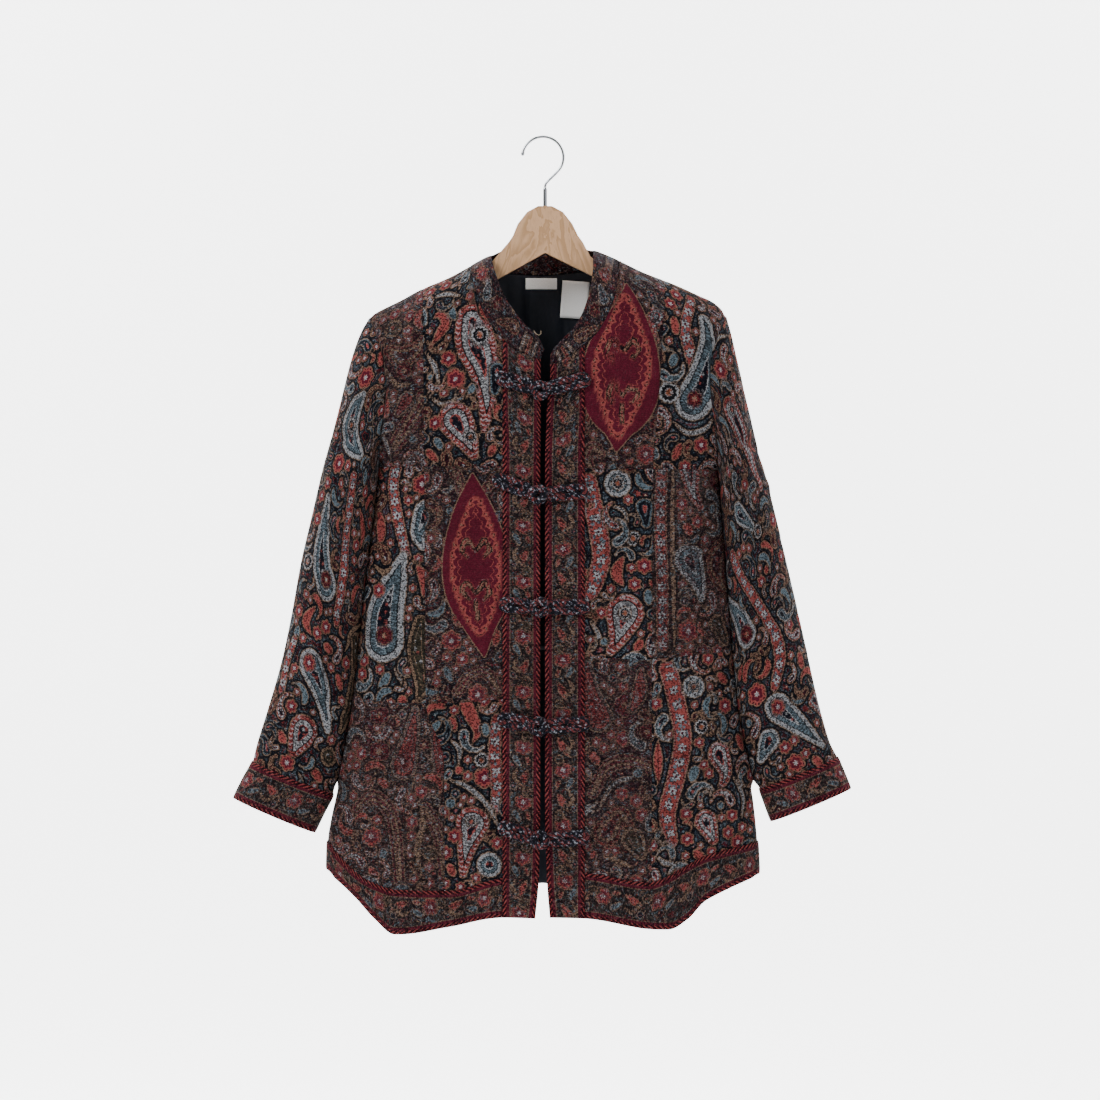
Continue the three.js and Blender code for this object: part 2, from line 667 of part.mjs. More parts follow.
// Collar: stands on the neckline from one front end round the back to the other.
function collarPanel(right, left, back) {
  const corner = TO_SIDE.length + TO_SEAM.length;
  const last = back.grid[0].length - 1 - corner;
  const seam = [];
  for (let c = 0; c < NECK_COLUMN; c += 1) seam.push({ point: right.grid[0][c], face: FRONT });
  for (let c = corner; c <= last; c += 1) seam.push({ point: back.grid[0][c], face: BACK });
  for (let c = NECK_COLUMN - 1; c >= 0; c -= 1) seam.push({ point: left.grid[0][c], face: FRONT });
  const columns = seam.map(({ point, face }) => {
    const side = sideOf(point.x);
    const table = face === FRONT ? side.collarFront : side.collarBack;
    const get = (column) => read(table, "seam", column, Math.abs(point.x));
    const base = point.clone();
    if (Math.abs(base.x) > side.neckX - GAP) base.y = 0;
    const top = new THREE.Vector3(side.sign * get("x"), base.y - face * get("lean"), get("z"));
    const rise = top.clone().sub(base).normalize();
    base.addScaledVector(rise, COLLAR_LIFT);
    return { base, top, bow: new THREE.Vector3(base.x, base.y, 0).normalize() };
  });
  const levels = [1, 0.72, 0.36, 0];
  const grid = levels.map((level) => columns.map(({ base, top, bow }) => (
    base.clone().lerp(top, level).addScaledVector(bow, 4 * level * (1 - level))
  )));
  const dirs = outward(grid, (point) => new THREE.Vector3(point.x, point.y, 0));
  return { grid, dirs };
}

// Lining of the back, hung just inside it, with a raised pleat down its middle.
function liningPanel() {
  const grid = [];
  const [rows, cols] = [9, 12];
  for (let r = 0; r <= rows; r += 1) {
    const line = [];
    for (let c = 0; c <= cols; c += 1) {
      const x = mix(-LINING_HALF_WIDTH, LINING_HALF_WIDTH, c / cols);
      const side = sideOf(x);
      const away = Math.abs(x);
      const free = LINING_SHOULDER_DROP * ease((away - side.neckX + 28) / 26);
      const top = topEdge(side, BACK, away) - free - 1;
      const z = mix(top, LINING_FOOT, (r / rows) ** 1.5);
      const point = bodyPoint(BACK, x, z);
      line.push(point);
    }
    grid.push(line);
  }
  const dirs = outward(grid, () => new THREE.Vector3(0, 1, 0));
  grid.forEach((line, r) => line.forEach((point, c) => {
    point.addScaledVector(dirs[r][c], -(CLOTH + LINING_GAP));
  }));
  return { grid, dirs };
}

// A label lies on the lining, its corners turned by its tilt.
function labelPanel(label) {
  const grid = [];
  const inside = CLOTH + LINING_GAP + LINING + PLEAT.raise + 2 * GAP;
  for (let r = 0; r <= 4; r += 1) {
    const line = [];
    for (let c = 0; c <= 4; c += 1) {
      const across = (c / 4 - 0.5) * label.wide;
      const down = (r / 4 - 0.5) * label.high;
      const x = label.x + across * Math.cos(label.tilt) - down * Math.sin(label.tilt);
      const z = label.z - across * Math.sin(label.tilt) - down * Math.cos(label.tilt);
      const point = bodyPoint(BACK, x, z);
      point.y -= inside;
      line.push(point);
    }
    grid.push(line);
  }
  return { grid, dirs: outward(grid, () => new THREE.Vector3(0, -1, 0)) };
}

// Double cord of a frog: two soft humps side by side, along a line on the placket.
function frogCord(from, to) {
  const section = [[0, 0]];
  const half = CORD_WIDTH;
  for (const share of [1, 0.86, 0.5, 0.16, 0, -0.16, -0.5, -0.86, -1]) {
    const hump = Math.sqrt(Math.max(0, 1 - ((Math.abs(share) - 0.5) / 0.5) ** 2));
    section.push([share * half, share === 0 ? CORD_VALLEY : Math.max(0.3, CORD_HEIGHT * hump)]);
  }
  const along = new THREE.Vector3(to.x - from.x, 0, to.z - from.z).normalize();
  const across = new THREE.Vector3(-along.z, 0, along.x);
  const rings = [];
  for (const share of [0, 0.06, 0.28, 0.5, 0.72, 0.94, 1]) {
    const x = mix(from.x, to.x, share);
    const z = mix(from.z, to.z, share);
    const size = share === 0 || share === 1 ? 0.7 : 1;
    const lift = FROG_LIFT + bodyDepth(FRONT, x, z);
    rings.push(section.map(([wide, high]) => new THREE.Vector3(
      x + across.x * wide * size, -lift - high * size, z + across.z * wide * size,
    )));
  }
  return loft(rings);
}

// Knot of a frog: a flattened ball on the two plackets.
function frogKnot(frog) {
  const rings = [];
  const middle = bodyDepth(FRONT, frog.knotX, frog.knotZ) + FROG_LIFT + KNOT_HALF_DEPTH;
  for (let r = 0; r <= 6; r += 1) {
    const angle = mix(0.16, Math.PI - 0.16, r / 6);
    const ring = [];
    for (let c = 0; c < 12; c += 1) {
      const turn = (c / 12) * 2 * Math.PI;
      ring.push(new THREE.Vector3(
        frog.knotX + KNOT_RADIUS * Math.sin(angle) * Math.cos(turn),
        -middle - KNOT_HALF_DEPTH * Math.cos(angle),
        frog.knotZ + KNOT_RADIUS * Math.sin(angle) * Math.sin(turn),
      ));
    }
    rings.push(ring);
  }
  return loft(rings);
}

// Board: its bell top, arms that follow the inside of the shoulders, and the notch under the hook.
function boardGeometry() {
  const edge = [];
  const armTop = (side, x) => read(side.shoulderLine, "x", "z", x) - ARM_CLEARANCE;
  const armRow = (side, end) => [side.neckX, 110, 135, 160, 180, end - 3].map((x) => {
    const share = clamp01((x - side.neckX) / (end - side.neckX));
    const top = armTop(side, x) - (x === side.neckX ? NECK_CLEARANCE : 0);
    return { x: side.sign * x, top, foot: top - mix(ARM_HEIGHT.neck, ARM_HEIGHT.end, share) };
  });
  const right = armRow(RIGHT, ARM_END.right);
  const left = armRow(LEFT, ARM_END.left);
  const tip = (side, rows, end) => {
    const last = rows[rows.length - 1];
    return { x: side.sign * end, top: last.top - 5, foot: last.foot + 4 };
  };
  const rightTip = tip(RIGHT, right, ARM_END.right);
  const leftTip = tip(LEFT, left, ARM_END.left);
  [rightTip, ...[...right].reverse()].forEach((row) => edge.push([row.x, row.top]));
  BOARD_TOP.forEach((row) => edge.push([row.x, row.z]));
  [...left, leftTip].forEach((row) => edge.push([row.x, row.top]));
  [leftTip, ...[...left].reverse()].forEach((row) => edge.push([row.x, row.foot]));
  edge.push([BOARD_APEX.x, BOARD_APEX.z]);
  [...right, rightTip].forEach((row) => edge.push([row.x, row.foot]));
  const outline = new THREE.Shape(edge.map(([x, z]) => new THREE.Vector2(x, z)));
  const geometry = new THREE.ExtrudeGeometry(outline, { depth: BOARD_THICK, bevelEnabled: false });
  geometry.rotateX(Math.PI / 2);
  geometry.translate(0, BOARD_THICK / 2, 0);
  return geometry;
}

// Wire hook: three quarters of a circle with a ball at its tip, swept in to the shank.
function hookGeometry() {
  const spine = [];
  for (let degrees = 176; degrees >= -46; degrees -= 12) {
    const angle = THREE.MathUtils.degToRad(degrees);
    spine.push(new THREE.Vector3(
      HOOK_CENTRE.x + HOOK_RADIUS * Math.cos(angle), 0, HOOK_CENTRE.z + HOOK_RADIUS * Math.sin(angle),
    ));
  }
  spine.push(new THREE.Vector3(8.2, 0, -48.6));
  spine.push(new THREE.Vector3(SHANK_X + 0.9, 0, -53.6));
  spine.push(new THREE.Vector3(SHANK_X, 0, SLEEVE_TOP + GAP));
  const curve = new THREE.CatmullRomCurve3(spine);
  const steps = 46;
  const rings = [];
  for (let i = 0; i <= steps; i += 1) {
    const at = curve.getPointAt(i / steps);
    const along = curve.getTangentAt(i / steps);
    const out = new THREE.Vector3(-along.z, 0, along.x);
    const radius = [1.1, 2.1, 2.1, WIRE][Math.min(i, 3)];
    const ring = [];
    for (let c = 0; c < 8; c += 1) {
      const turn = (c / 8) * 2 * Math.PI;
      ring.push(at.clone().addScaledVector(out, radius * Math.cos(turn)).setY(radius * Math.sin(turn)));
    }
    rings.push(ring);
  }
  return loft(rings);
}

function ferruleGeometry() {
  const foot = BOARD_TOP_Z + GAP;
  const geometry = new THREE.CylinderGeometry(SLEEVE_RADIUS, SLEEVE_RADIUS, SLEEVE_TOP - foot, 16);
  geometry.rotateX(Math.PI / 2);
  geometry.translate(SHANK_X, 0, (SLEEVE_TOP + foot) / 2);
  return geometry;
}

// Finishes
const FINISH = {
  wood: new THREE.MeshStandardMaterial({ color: 0xd9b48c, roughness: 0.5 }),
  chrome: new THREE.MeshStandardMaterial({ color: 0xd0d2d4, metalness: 1, roughness: 0.2 }),
  navy: new THREE.MeshStandardMaterial({ color: 0x262c3a, roughness: 0.9 }),
  burgundy: new THREE.MeshStandardMaterial({ color: 0x6a2030, roughness: 0.9 }),
  olive: new THREE.MeshStandardMaterial({ color: 0x5f4a44, roughness: 0.9 }),
  sleeve: new THREE.MeshStandardMaterial({ color: 0x55424a, roughness: 0.9 }),
  border: new THREE.MeshStandardMaterial({ color: 0x7a3a3c, roughness: 0.9 }),
  frog: new THREE.MeshStandardMaterial({ color: 0x8a7078, roughness: 0.9 }),
  lining: new THREE.MeshStandardMaterial({ color: 0x10131c, roughness: 0.4 }),
  label: new THREE.MeshStandardMaterial({ color: 0xe8e8e6, roughness: 0.8 }),
};

const jacket = new THREE.Group();
jacket.name = "mandarin_collar_jacket";

function add(name, geometry, finish) {
  const mesh = new THREE.Mesh(geometry, FINISH[finish]);
  mesh.name = name;
  jacket.add(mesh);
}

// Six patches to a front: three rows in an inner and an outer column
const PATCH_ROWS = [
  { name: "upper", from: 0, to: UNDERARM_ROW },
  { name: "middle", from: UNDERARM_ROW, to: LOWER_SEAM_ROW },
  { name: "lower", from: LOWER_SEAM_ROW, to: HEM_ROW },
];
const PATCH_COLUMNS = [
  { name: "inner", from: 0, to: SEAM_COLUMN },
  { name: "outer", from: SEAM_COLUMN, to: SIDE_COLUMN },
];
const PATCH_FINISH = {
  right: { inner: ["navy", "burgundy", "navy"], outer: ["burgundy", "navy", "olive"] },
  left: { inner: ["burgundy", "navy", "burgundy"], outer: ["navy", "olive", "navy"] },
};

function addFront(side, panel) {
  for (const column of PATCH_COLUMNS) {
    PATCH_ROWS.forEach((row, i) => {
      const seams = {
        top: i > 0 ? GAP / 2 : 0,
        bottom: i < PATCH_ROWS.length - 1 ? GAP / 2 : 0,
        inner: column.name === "outer" ? GAP / 2 : 0,
        outer: column.name === "inner" ? GAP / 2 : 0,
      };
      const patch = cut(panel, row.from, row.to, column.from, column.to, seams);
      const name = `front_${side.name}_${row.name}_${column.name}`;
      add(name, clothGeometry(patch, -CLOTH, 0), PATCH_FINISH[side.name][column.name][i]);
    });
  }
  const placket = cut(panel, 0, HEM_ROW, 0, PLACKET_COLUMN, { top: 2 * GAP });
  add(`placket_${side.name}`, clothGeometry(placket, GAP, GAP + TRIM), "border");
  const band = cut(panel, BAND_ROW, HEM_ROW, PLACKET_COLUMN, SIDE_COLUMN, { inner: GAP });
  add(`hem_band_front_${side.name}`, clothGeometry(band, GAP, GAP + TRIM), "border");
}

function addSleeve(side, front, back) {
  const panel = sleevePanel(side, front, back);
  const rings = panel.grid.length;
  add(`sleeve_${side.name}`, clothGeometry(panel, -CLOTH, 0, true), "sleeve");
  const cuff = cut(panel, rings - 3, rings - 1, 0, panel.grid[0].length - 1);
  add(`cuff_band_${side.name}`, clothGeometry(cuff, GAP, GAP + TRIM, true), "border");
}

function addFrogs() {
  FROGS.forEach((frog, i) => {
    const number = i + 1;
    const clear = KNOT_RADIUS + 2 * GAP;
    const knot = { x: frog.knotX, z: frog.knotZ };
    const near = (end) => {
      const away = Math.hypot(end.x - knot.x, end.z - knot.z);
      return { x: mix(knot.x, end.x, clear / away), z: mix(knot.z, end.z, clear / away) };
    };
    const right = { x: frog.rightX, z: frog.rightZ };
    const left = { x: frog.leftX, z: frog.leftZ };
    add(`frog_knot_${number}`, frogKnot(frog), "frog");
    add(`frog_cord_right_${number}`, frogCord(right, near(right)), "frog");
    add(`frog_cord_left_${number}`, frogCord(left, near(left)), "frog");
  });
}

const frontRight = frontPanel(RIGHT);
const frontLeft = frontPanel(LEFT);
const backCloth = backPanel();
addFront(RIGHT, frontRight);
addFront(LEFT, frontLeft);
add("back", clothGeometry(backCloth, -CLOTH, 0), "navy");
const backColumns = backCloth.grid[0].length - 1;
const backBand = cut(backCloth, BAND_ROW, HEM_ROW, 0, backColumns);
add("hem_band_back", clothGeometry(backBand, GAP, GAP + TRIM), "border");
addSleeve(RIGHT, frontRight, backCloth);
addSleeve(LEFT, frontLeft, backCloth);
add("collar", clothGeometry(collarPanel(frontRight, frontLeft, backCloth), -COLLAR_CLOTH, 0), "burgundy");
addFrogs();
add("lining_back", clothGeometry(liningPanel(), -LINING, 0), "lining");
LABELS.forEach((label) => add(label.name, clothGeometry(labelPanel(label), 0, LABEL), "label"));
add("hanger_board", boardGeometry(), "wood");
add("hanger_hook", hookGeometry(), "chrome");
add("hanger_ferrule", ferruleGeometry(), "chrome");

export default jacket;
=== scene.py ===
"""A patchwork tapestry jacket with a stand collar and five frog fastenings, on a wooden hanger.

The tables are in millimetres, X across, Z up, the front towards -Y, with the origin inside the
top of the hook's bend. Meshes are made in metres. Places on the cloth are given as they are seen
from the front, in view units: 1.17 mm each, counted from a corner up and to the left.
"""
import math
import bpy
import numpy as np
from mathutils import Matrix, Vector


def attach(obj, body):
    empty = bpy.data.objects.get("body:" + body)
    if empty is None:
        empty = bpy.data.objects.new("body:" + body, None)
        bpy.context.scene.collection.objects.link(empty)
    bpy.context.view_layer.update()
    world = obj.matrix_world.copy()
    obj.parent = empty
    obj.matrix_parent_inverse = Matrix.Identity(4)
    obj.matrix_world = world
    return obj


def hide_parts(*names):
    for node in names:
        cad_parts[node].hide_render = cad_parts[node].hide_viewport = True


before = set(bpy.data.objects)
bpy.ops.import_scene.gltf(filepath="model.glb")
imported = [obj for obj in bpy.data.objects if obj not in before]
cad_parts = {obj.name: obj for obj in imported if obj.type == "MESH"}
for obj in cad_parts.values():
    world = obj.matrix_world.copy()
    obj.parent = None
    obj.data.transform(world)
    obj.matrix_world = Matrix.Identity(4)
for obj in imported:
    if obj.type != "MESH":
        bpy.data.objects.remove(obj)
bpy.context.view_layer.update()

MM = 0.001
BODY = "root"
# Millimetres to a view unit, where the origin lies in view units, and the camera's view
UNIT, MIDDLE_U, HOOK_V = 1.17, 542.5, 138.0
PHOTO, CAMERA_AWAY = 1100, 5.0

# Thicknesses of the cloths and the gaps between them
CLOTH, TRIM, GAP = 1.8, 1.4, 0.3
COLLAR_CLOTH, COLLAR_LIFT = 2.2, 0.5
LINING, LINING_GAP, LABEL = 1.0, 1.8, 0.5
# How far patches draw in at a seam, and how far each half of a side seam lies from the middle plane
SEAM_DRAW, SIDE_SEAM_Y = 0.03, 0.04
# Heights of the small creases, in terms of the tables' heights
CREASE_SCALE = 1.6

FRONT, BACK = -1, 1


def as_rows(names, *rows):
    """A table as a list of dicts: its columns are named once, and each tuple is a row."""
    return [dict(zip(names.split(), row)) for row in rows]


# Half depths of the body by height, and half widths of the gap between the fronts
DEPTH = as_rows("z front back", (-930, 62, 58), (-760, 58, 54), (-600, 55, 51), (-385, 54, 52), (-260, 50, 50),
    (-118, 48, 48))
OPENING = as_rows("z right left", (-914, 9, 9), (-862, 4, 5), (-780, 2.5, 3), (-400, 2.5, 3), (-300, 2, 5),
    (-262, 2, 9))

RIGHT = {
    "name": "right",
    "sign": -1,
    "shoulderPoint": dict(x=203, z=-209),
    "underarm": dict(x=191.5, z=-385),
    "neckX": 85,
    "placketX": 46,
    "lowerSeamZ": -655,
    "shoulderLine": as_rows("x z", (0, -118), (30, -124), (60, -136), (85, -150), (110, -163.5), (144, -178),
        (166, -190), (194, -204), (208, -214)),
    "neckFront": as_rows("x z", (2, -261), (18, -256), (33, -248), (50, -233), (67, -209), (79, -178),
        (85, -150)),
    "neckBack": as_rows("x z", (0, -157), (30, -156), (60, -153), (85, -150)),
    # Half width by height; above the underarm it is the form that the armhole is cut from
    "side": as_rows("z x", (-930, 254), (-855, 252), (-821, 251), (-793, 246.5), (-766, 240.5), (-657, 221),
        (-500, 203), (-385, 191.5), (-372, 197), (-350, 208), (-320, 220), (-280, 230), (-240, 236)),
    "armhole": as_rows("z x", (-385, 191.5), (-360, 190.5), (-330, 185), (-297, 182), (-262, 185), (-232, 193),
        (-209, 203)),
    # Seam between the inner and outer columns of patches
    "seam": as_rows("z x", (-930, 112), (-700, 114), (-640, 135), (-400, 137), (-180, 140)),
    "hemFront": as_rows("x z band", (9, -908, -859), (44, -907, -861), (108, -918, -876), (171, -927, -875),
        (195, -909, -868), (216, -886, -856), (252, -855, -822)),
    "hemBack": as_rows("x z band", (0, -876, -832), (120, -884, -840), (190, -879, -838), (252, -855, -822)),
    # Seam of the collar (its distance from the centre) with the collar's top edge above it
    "collarFront": as_rows("seam x z lean", (2, -2.5, -249, 6), (9, 2, -238.5, 8), (18, 9, -230, 9),
        (33, 21, -218, 9), (50, 34, -202, 8), (67, 46, -182, 8), (79, 55, -158, 6), (85, 61, -137, 0)),
    "collarBack": as_rows("seam x z lean", (0, 0, -126, 6), (30, 23, -127, 6), (60, 46, -129.5, 6),
        (85, 61, -137, 0)),
    # Rings of the sleeve after its armhole: outer and underarm points, half depth, share of the armhole's form
    "sleeve": as_rows("outX outZ inX inZ depth arm", (213, -228, 193.6, -399, 35, 0.75),
        (223, -256, 195.6, -416, 36, 0.5), (232, -290, 198.8, -441, 37, 0.25),
        (243, -334, 203.4, -474, 37, 0.08), (257, -386, 208.5, -514, 37, 0), (270, -442, 213.5, -556, 36, 0),
        (283, -498, 218, -598, 35, 0), (293, -554, 222.5, -640, 34, 0), (305, -611, 228, -680, 33, 0),
        (321, -667, 236, -722, 32, 0), (334, -709, 242, -752, 31, 0), (339, -729, 245, -767, 30.5, 0),
        (350, -750, 256, -789, 30, 0), (361, -772, 267, -812, 30, 0)),
}

LEFT = {
    "name": "left",
    "sign": 1,
    "shoulderPoint": dict(x=215, z=-209),
    "underarm": dict(x=206, z=-388),
    "neckX": 90,
    "placketX": 49,
    "lowerSeamZ": -608,
    "shoulderLine": as_rows("x z", (0, -118), (30, -121), (60, -130), (90, -143.5), (118, -157), (154, -171),
        (185, -185), (198, -191), (210, -201), (218, -214)),
    "neckFront": as_rows("x z", (9, -267), (18, -264.5), (33, -256), (48, -245), (63, -231), (75, -211),
        (84, -188), (88, -168), (90, -143.5)),
    "neckBack": as_rows("x z", (0, -157), (30, -155), (60, -150), (90, -143.5)),
    "side": as_rows("z x", (-930, 254), (-860, 253), (-835, 252), (-779, 247), (-740, 240), (-657, 224.5),
        (-500, 212), (-388, 206), (-376, 211), (-350, 220), (-320, 229), (-280, 236), (-240, 240)),
    "armhole": as_rows("z x", (-388, 206), (-345, 201.5), (-285, 195), (-262, 195.5), (-235, 203), (-209, 215)),
    "seam": as_rows("z x", (-930, 126), (-600, 127), (-400, 128), (-300, 138), (-165, 146)),
    "hemFront": as_rows("x z band", (9, -907, -853), (48, -908, -855), (123, -920, -866), (146, -921, -859),
        (168, -910, -847), (190, -888, -836), (253, -860, -822)),
    "hemBack": as_rows("x z band", (0, -876, -832), (120, -884, -840), (180, -876, -836), (253, -860, -822)),
    "collarFront": as_rows("seam x z lean", (9, 8.5, -257, 6), (18, 12, -248.5, 8), (33, 21, -239, 9),
        (48, 31.5, -228, 9), (63, 43, -213, 8), (75, 51, -194, 8), (84, 56.5, -171, 7), (88, 59, -150, 4),
        (90, 60, -131, 0)),
    "collarBack": as_rows("seam x z lean", (0, 0, -126, 6), (30, 22, -126, 6), (60, 43, -126.5, 6),
        (90, 60, -131, 0)),
    "sleeve": as_rows("outX outZ inX inZ depth arm", (221, -230, 208, -403, 35, 0.75),
        (227, -256, 209.6, -419, 36, 0.5), (235, -290, 212, -443, 37, 0.25), (246, -334, 215, -475, 37, 0.08),
        (260, -386, 218, -514, 37, 0), (273, -442, 221.5, -556, 36, 0), (286, -498, 225, -598, 35, 0),
        (299, -554, 228, -636, 34, 0), (311.5, -611, 232, -674, 33, 0), (324.5, -667, 241, -714, 32, 0),
        (337, -709, 250, -746, 31, 0), (344.6, -724, 254, -760.5, 30.5, 0), (353, -744, 261, -780, 30, 0),
        (360, -761, 268, -799, 30, 0)),
}

# Broad folds of each face, which widen from their tops to their feet
FOLDS = as_rows("face side topX topZ footX footZ width height", (FRONT, -1, 112, -430, 150, -900, 24, 7),
    (FRONT, -1, 168, -400, 208, -880, 17, 6), (FRONT, -1, 70, -520, 78, -900, 20, -4),
    (FRONT, 1, 100, -470, 128, -900, 24, 7), (FRONT, 1, 172, -405, 205, -880, 18, 6),
    (FRONT, 1, 140, -520, 168, -900, 17, -4), (BACK, -1, 60, -420, 88, -880, 26, 7),
    (BACK, -1, 150, -400, 182, -880, 22, 7), (BACK, 1, 40, -430, 52, -880, 26, 6),
    (BACK, 1, 142, -400, 166, -880, 24, 8))

# Drops of the first rows of points below the shoulder point, and the rows at the main levels
ROW_DROPS = [0, 2, 8, 18, 31, 46, 62, 90, 120, 147, 165, 174, 177]
UNDERARM_ROW, LOWER_SEAM_ROW, BAND_ROW, HEM_ROW = 12, 16, 20, 22
BAND_LEVEL = -862

# Places of the columns, as shares of the way from one stop to the next
FRONT_SHARES = [[0, 0.33, 0.67, 1], [0, 0.32, 0.62, 0.86, 1], [0, 0.5, 1],
                [0, 0.22, 0.44, 0.64, 0.81, 0.93, 1]]
BACK_SHARES = [[0, 0.25, 0.5, 0.75, 1], [0, 0.5, 1], [0, 0.22, 0.44, 0.64, 0.81, 0.93, 1]]
FRONT_COLUMNS = [[6] * 3, [4] * 4, [10] * 2, [10, 11, 10, 10, 9, 9]]
BACK_COLUMNS = [[6] * 4, [8] * 2, [9, 9, 8, 7, 7, 7]]
UPPER_ROWS = [5, 6, 6, 6, 6, 6, 11, 12, 11, 7, 4, 2]
FRONT_ROWS = UPPER_ROWS + [26] * 4 + [20] * 4 + [9] * 2
BACK_ROWS = UPPER_ROWS + [18] * 4 + [14] * 4 + [8] * 2
SLEEVE_ROWS = [8, 10, 13, 17, 20, 21, 21, 21, 21, 21, 16, 8, 9, 9]
CUFF_RING = 12
# Fine columns from a front's edge, and from the back's side edge, to the corner of the neck
FRONT_CORNER = sum(FRONT_COLUMNS[0]) + sum(FRONT_COLUMNS[1])
BACK_CORNER = sum(BACK_COLUMNS[1]) + sum(BACK_COLUMNS[2])


def read(table, key, column, at):
    """A table's column where its key is at: smooth between the rows, constant past the ends."""
    rows = sorted(table, key=lambda row: row[key])
    x = np.array([row[key] for row in rows], float)
    y = np.array([row[column] for row in rows], float)
    secant = np.diff(y) / np.diff(x)
    slope = np.concatenate([secant[:1], np.zeros(len(x) - 2), secant[-1:]])
    a, b = secant[:-1], secant[1:]
    same = a * b > 0
    slope[1:-1][same] = (2 * a * b)[same] / (a + b)[same]
    at = np.clip(np.asarray(at, float), x[0], x[-1])
    i = np.clip(np.searchsorted(x, at, side="right") - 1, 0, len(x) - 2)
    step = x[i + 1] - x[i]
    s = (at - x[i]) / step
    rise = s * s * (3 - 2 * s)
    bend = step * (slope[i] * s * (1 - s) ** 2 - slope[i + 1] * s * s * (1 - s))
    return y[i] + rise * (y[i + 1] - y[i]) + bend


def mix(a, b, s):
    return a + (b - a) * s


def ease(s):
    s = np.clip(s, 0, 1)
    return s * s * (3 - 2 * s)


def unit(v):
    return v / np.maximum(np.linalg.norm(v, axis=-1, keepdims=True), 1e-9)


def seen(u, v):
    """Front view units to X and Z in millimetres."""
    return (u - MIDDLE_U) * UNIT, -(v - HOOK_V) * UNIT


def read_sides(x, key, pick, at):
    """A value read from the right side's table where x is negative, else from the left side's."""
    return np.where(x < 0, read(RIGHT[key], *pick, at), read(LEFT[key], *pick, at))


def fold_height(face, x, z):
    """Height of the broad folds of a face, which start at nothing at their tops."""
    total = np.zeros_like(x)
    for fold in FOLDS:
        if fold["face"] != face:
            continue
        s = (z - fold["topZ"]) / (fold["footZ"] - fold["topZ"])
        centre = fold["side"] * mix(fold["topX"], fold["footX"], np.clip(s, 0, 1))
        total += fold["height"] * ease(s) * np.exp(-(((x - centre) / fold["width"]) ** 2))
    return total


def crease_height(creases, x, z):
    """Soft troughs and ridges along given lines, tapering to nothing at both ends."""
    total = np.zeros_like(x)
    for width, height, *line in creases:
        px, pz = seen(np.array(line[0::2], float), np.array(line[1::2], float))
        lengths = np.hypot(np.diff(px), np.diff(pz))
        whole, done = lengths.sum(), 0.0
        near = np.full_like(x, 1e6)
        share = np.zeros_like(x)
        for i, length in enumerate(lengths):
            dx, dz = (px[i + 1] - px[i]) / length, (pz[i + 1] - pz[i]) / length
            along = np.clip((x - px[i]) * dx + (z - pz[i]) * dz, 0, length)
            away = np.hypot(x - px[i] - along * dx, z - pz[i] - along * dz)
            closer = away < near
            near = np.where(closer, away, near)
            share = np.where(closer, (done + along) / whole, share)
            done += length
        total += CREASE_SCALE * height * np.sin(np.pi * share) ** 0.8 * np.exp(-((near / width) ** 2))
    return total


def body_depth(face, x, z, creases=()):
    """Distance of the body's outer surface from the plane of the hanger."""
    x, z = np.broadcast_arrays(np.asarray(x, float), np.asarray(z, float))
    t = np.clip(np.abs(x) / read_sides(x, "side", ("z", "x"), z), 0, 1)
    across = (1 - t ** 2.6) ** (1 / 2.2)
    drop = read_sides(x, "shoulderLine", ("x", "z"), np.abs(x)) - z
    over = np.sqrt(1 - (1 - np.clip(drop / 60, 0, 1)) ** 2)
    depth = read(DEPTH, "z", "front" if face == FRONT else "back", z)
    extra = fold_height(face, x, z) + crease_height(creases, x, z) * ease(drop / 25)
    return depth * across * over + extra * (1 - t ** 6)


def top_edge(side, face, x):
    """Height of the top edge of a face: the neck, then the shoulder line."""
    neck = side["neckFront" if face == FRONT else "neckBack"]
    shoulder = read(side["shoulderLine"], "x", "z", x)
    return np.where(x < side["neckX"], read(neck, "x", "z", x), shoulder)


def row_height(side, face, row, x):
    """Height of a row of points at x: level below the underarm, following shoulder and hem at the ends."""
    hem = side["hemFront" if face == FRONT else "hemBack"]
    shoulder, underarm = side["shoulderPoint"]["z"], side["underarm"]["z"]
    if row <= UNDERARM_ROW:
        drop = np.interp(row, range(UNDERARM_ROW + 1), ROW_DROPS)
        fade = 1 - ease((drop - 60) / 117)
        level = shoulder - drop * (shoulder - underarm) / ROW_DROPS[-1]
        return level + fade * (top_edge(side, face, x) - shoulder)
    if row <= BAND_ROW:
        seam = side["lowerSeamZ"]
        if row <= LOWER_SEAM_ROW:
            level = mix(underarm, seam, (row - UNDERARM_ROW) / 4)
        else:
            level = mix(seam, BAND_LEVEL, (row - LOWER_SEAM_ROW) / 4)
        share = ((underarm - level) / (underarm - BAND_LEVEL)) ** 2
        return level + share * (read(hem, "x", "band", x) - BAND_LEVEL)
    return mix(read(hem, "x", "band", x), read(hem, "x", "z", x), (row - BAND_ROW) / 2)


def row_end(side, face, row):
    """X and Z of a row's outer end, on the armhole or the side seam."""
    near = side["shoulderPoint"]["x"] if row <= UNDERARM_ROW else side["hemBack"][-1]["x"]
    z = float(row_height(side, face, row, near))
    edge = side["armhole" if row < UNDERARM_ROW else "side"]
    return float(read(edge, "z", "x", z)), z


def spread(counts):
    """Real row or ring numbers, with counts[i] steps between i and i + 1."""
    places = [np.arange(n) / n + i for i, n in enumerate(counts)]
    return np.append(np.concatenate(places), len(counts))


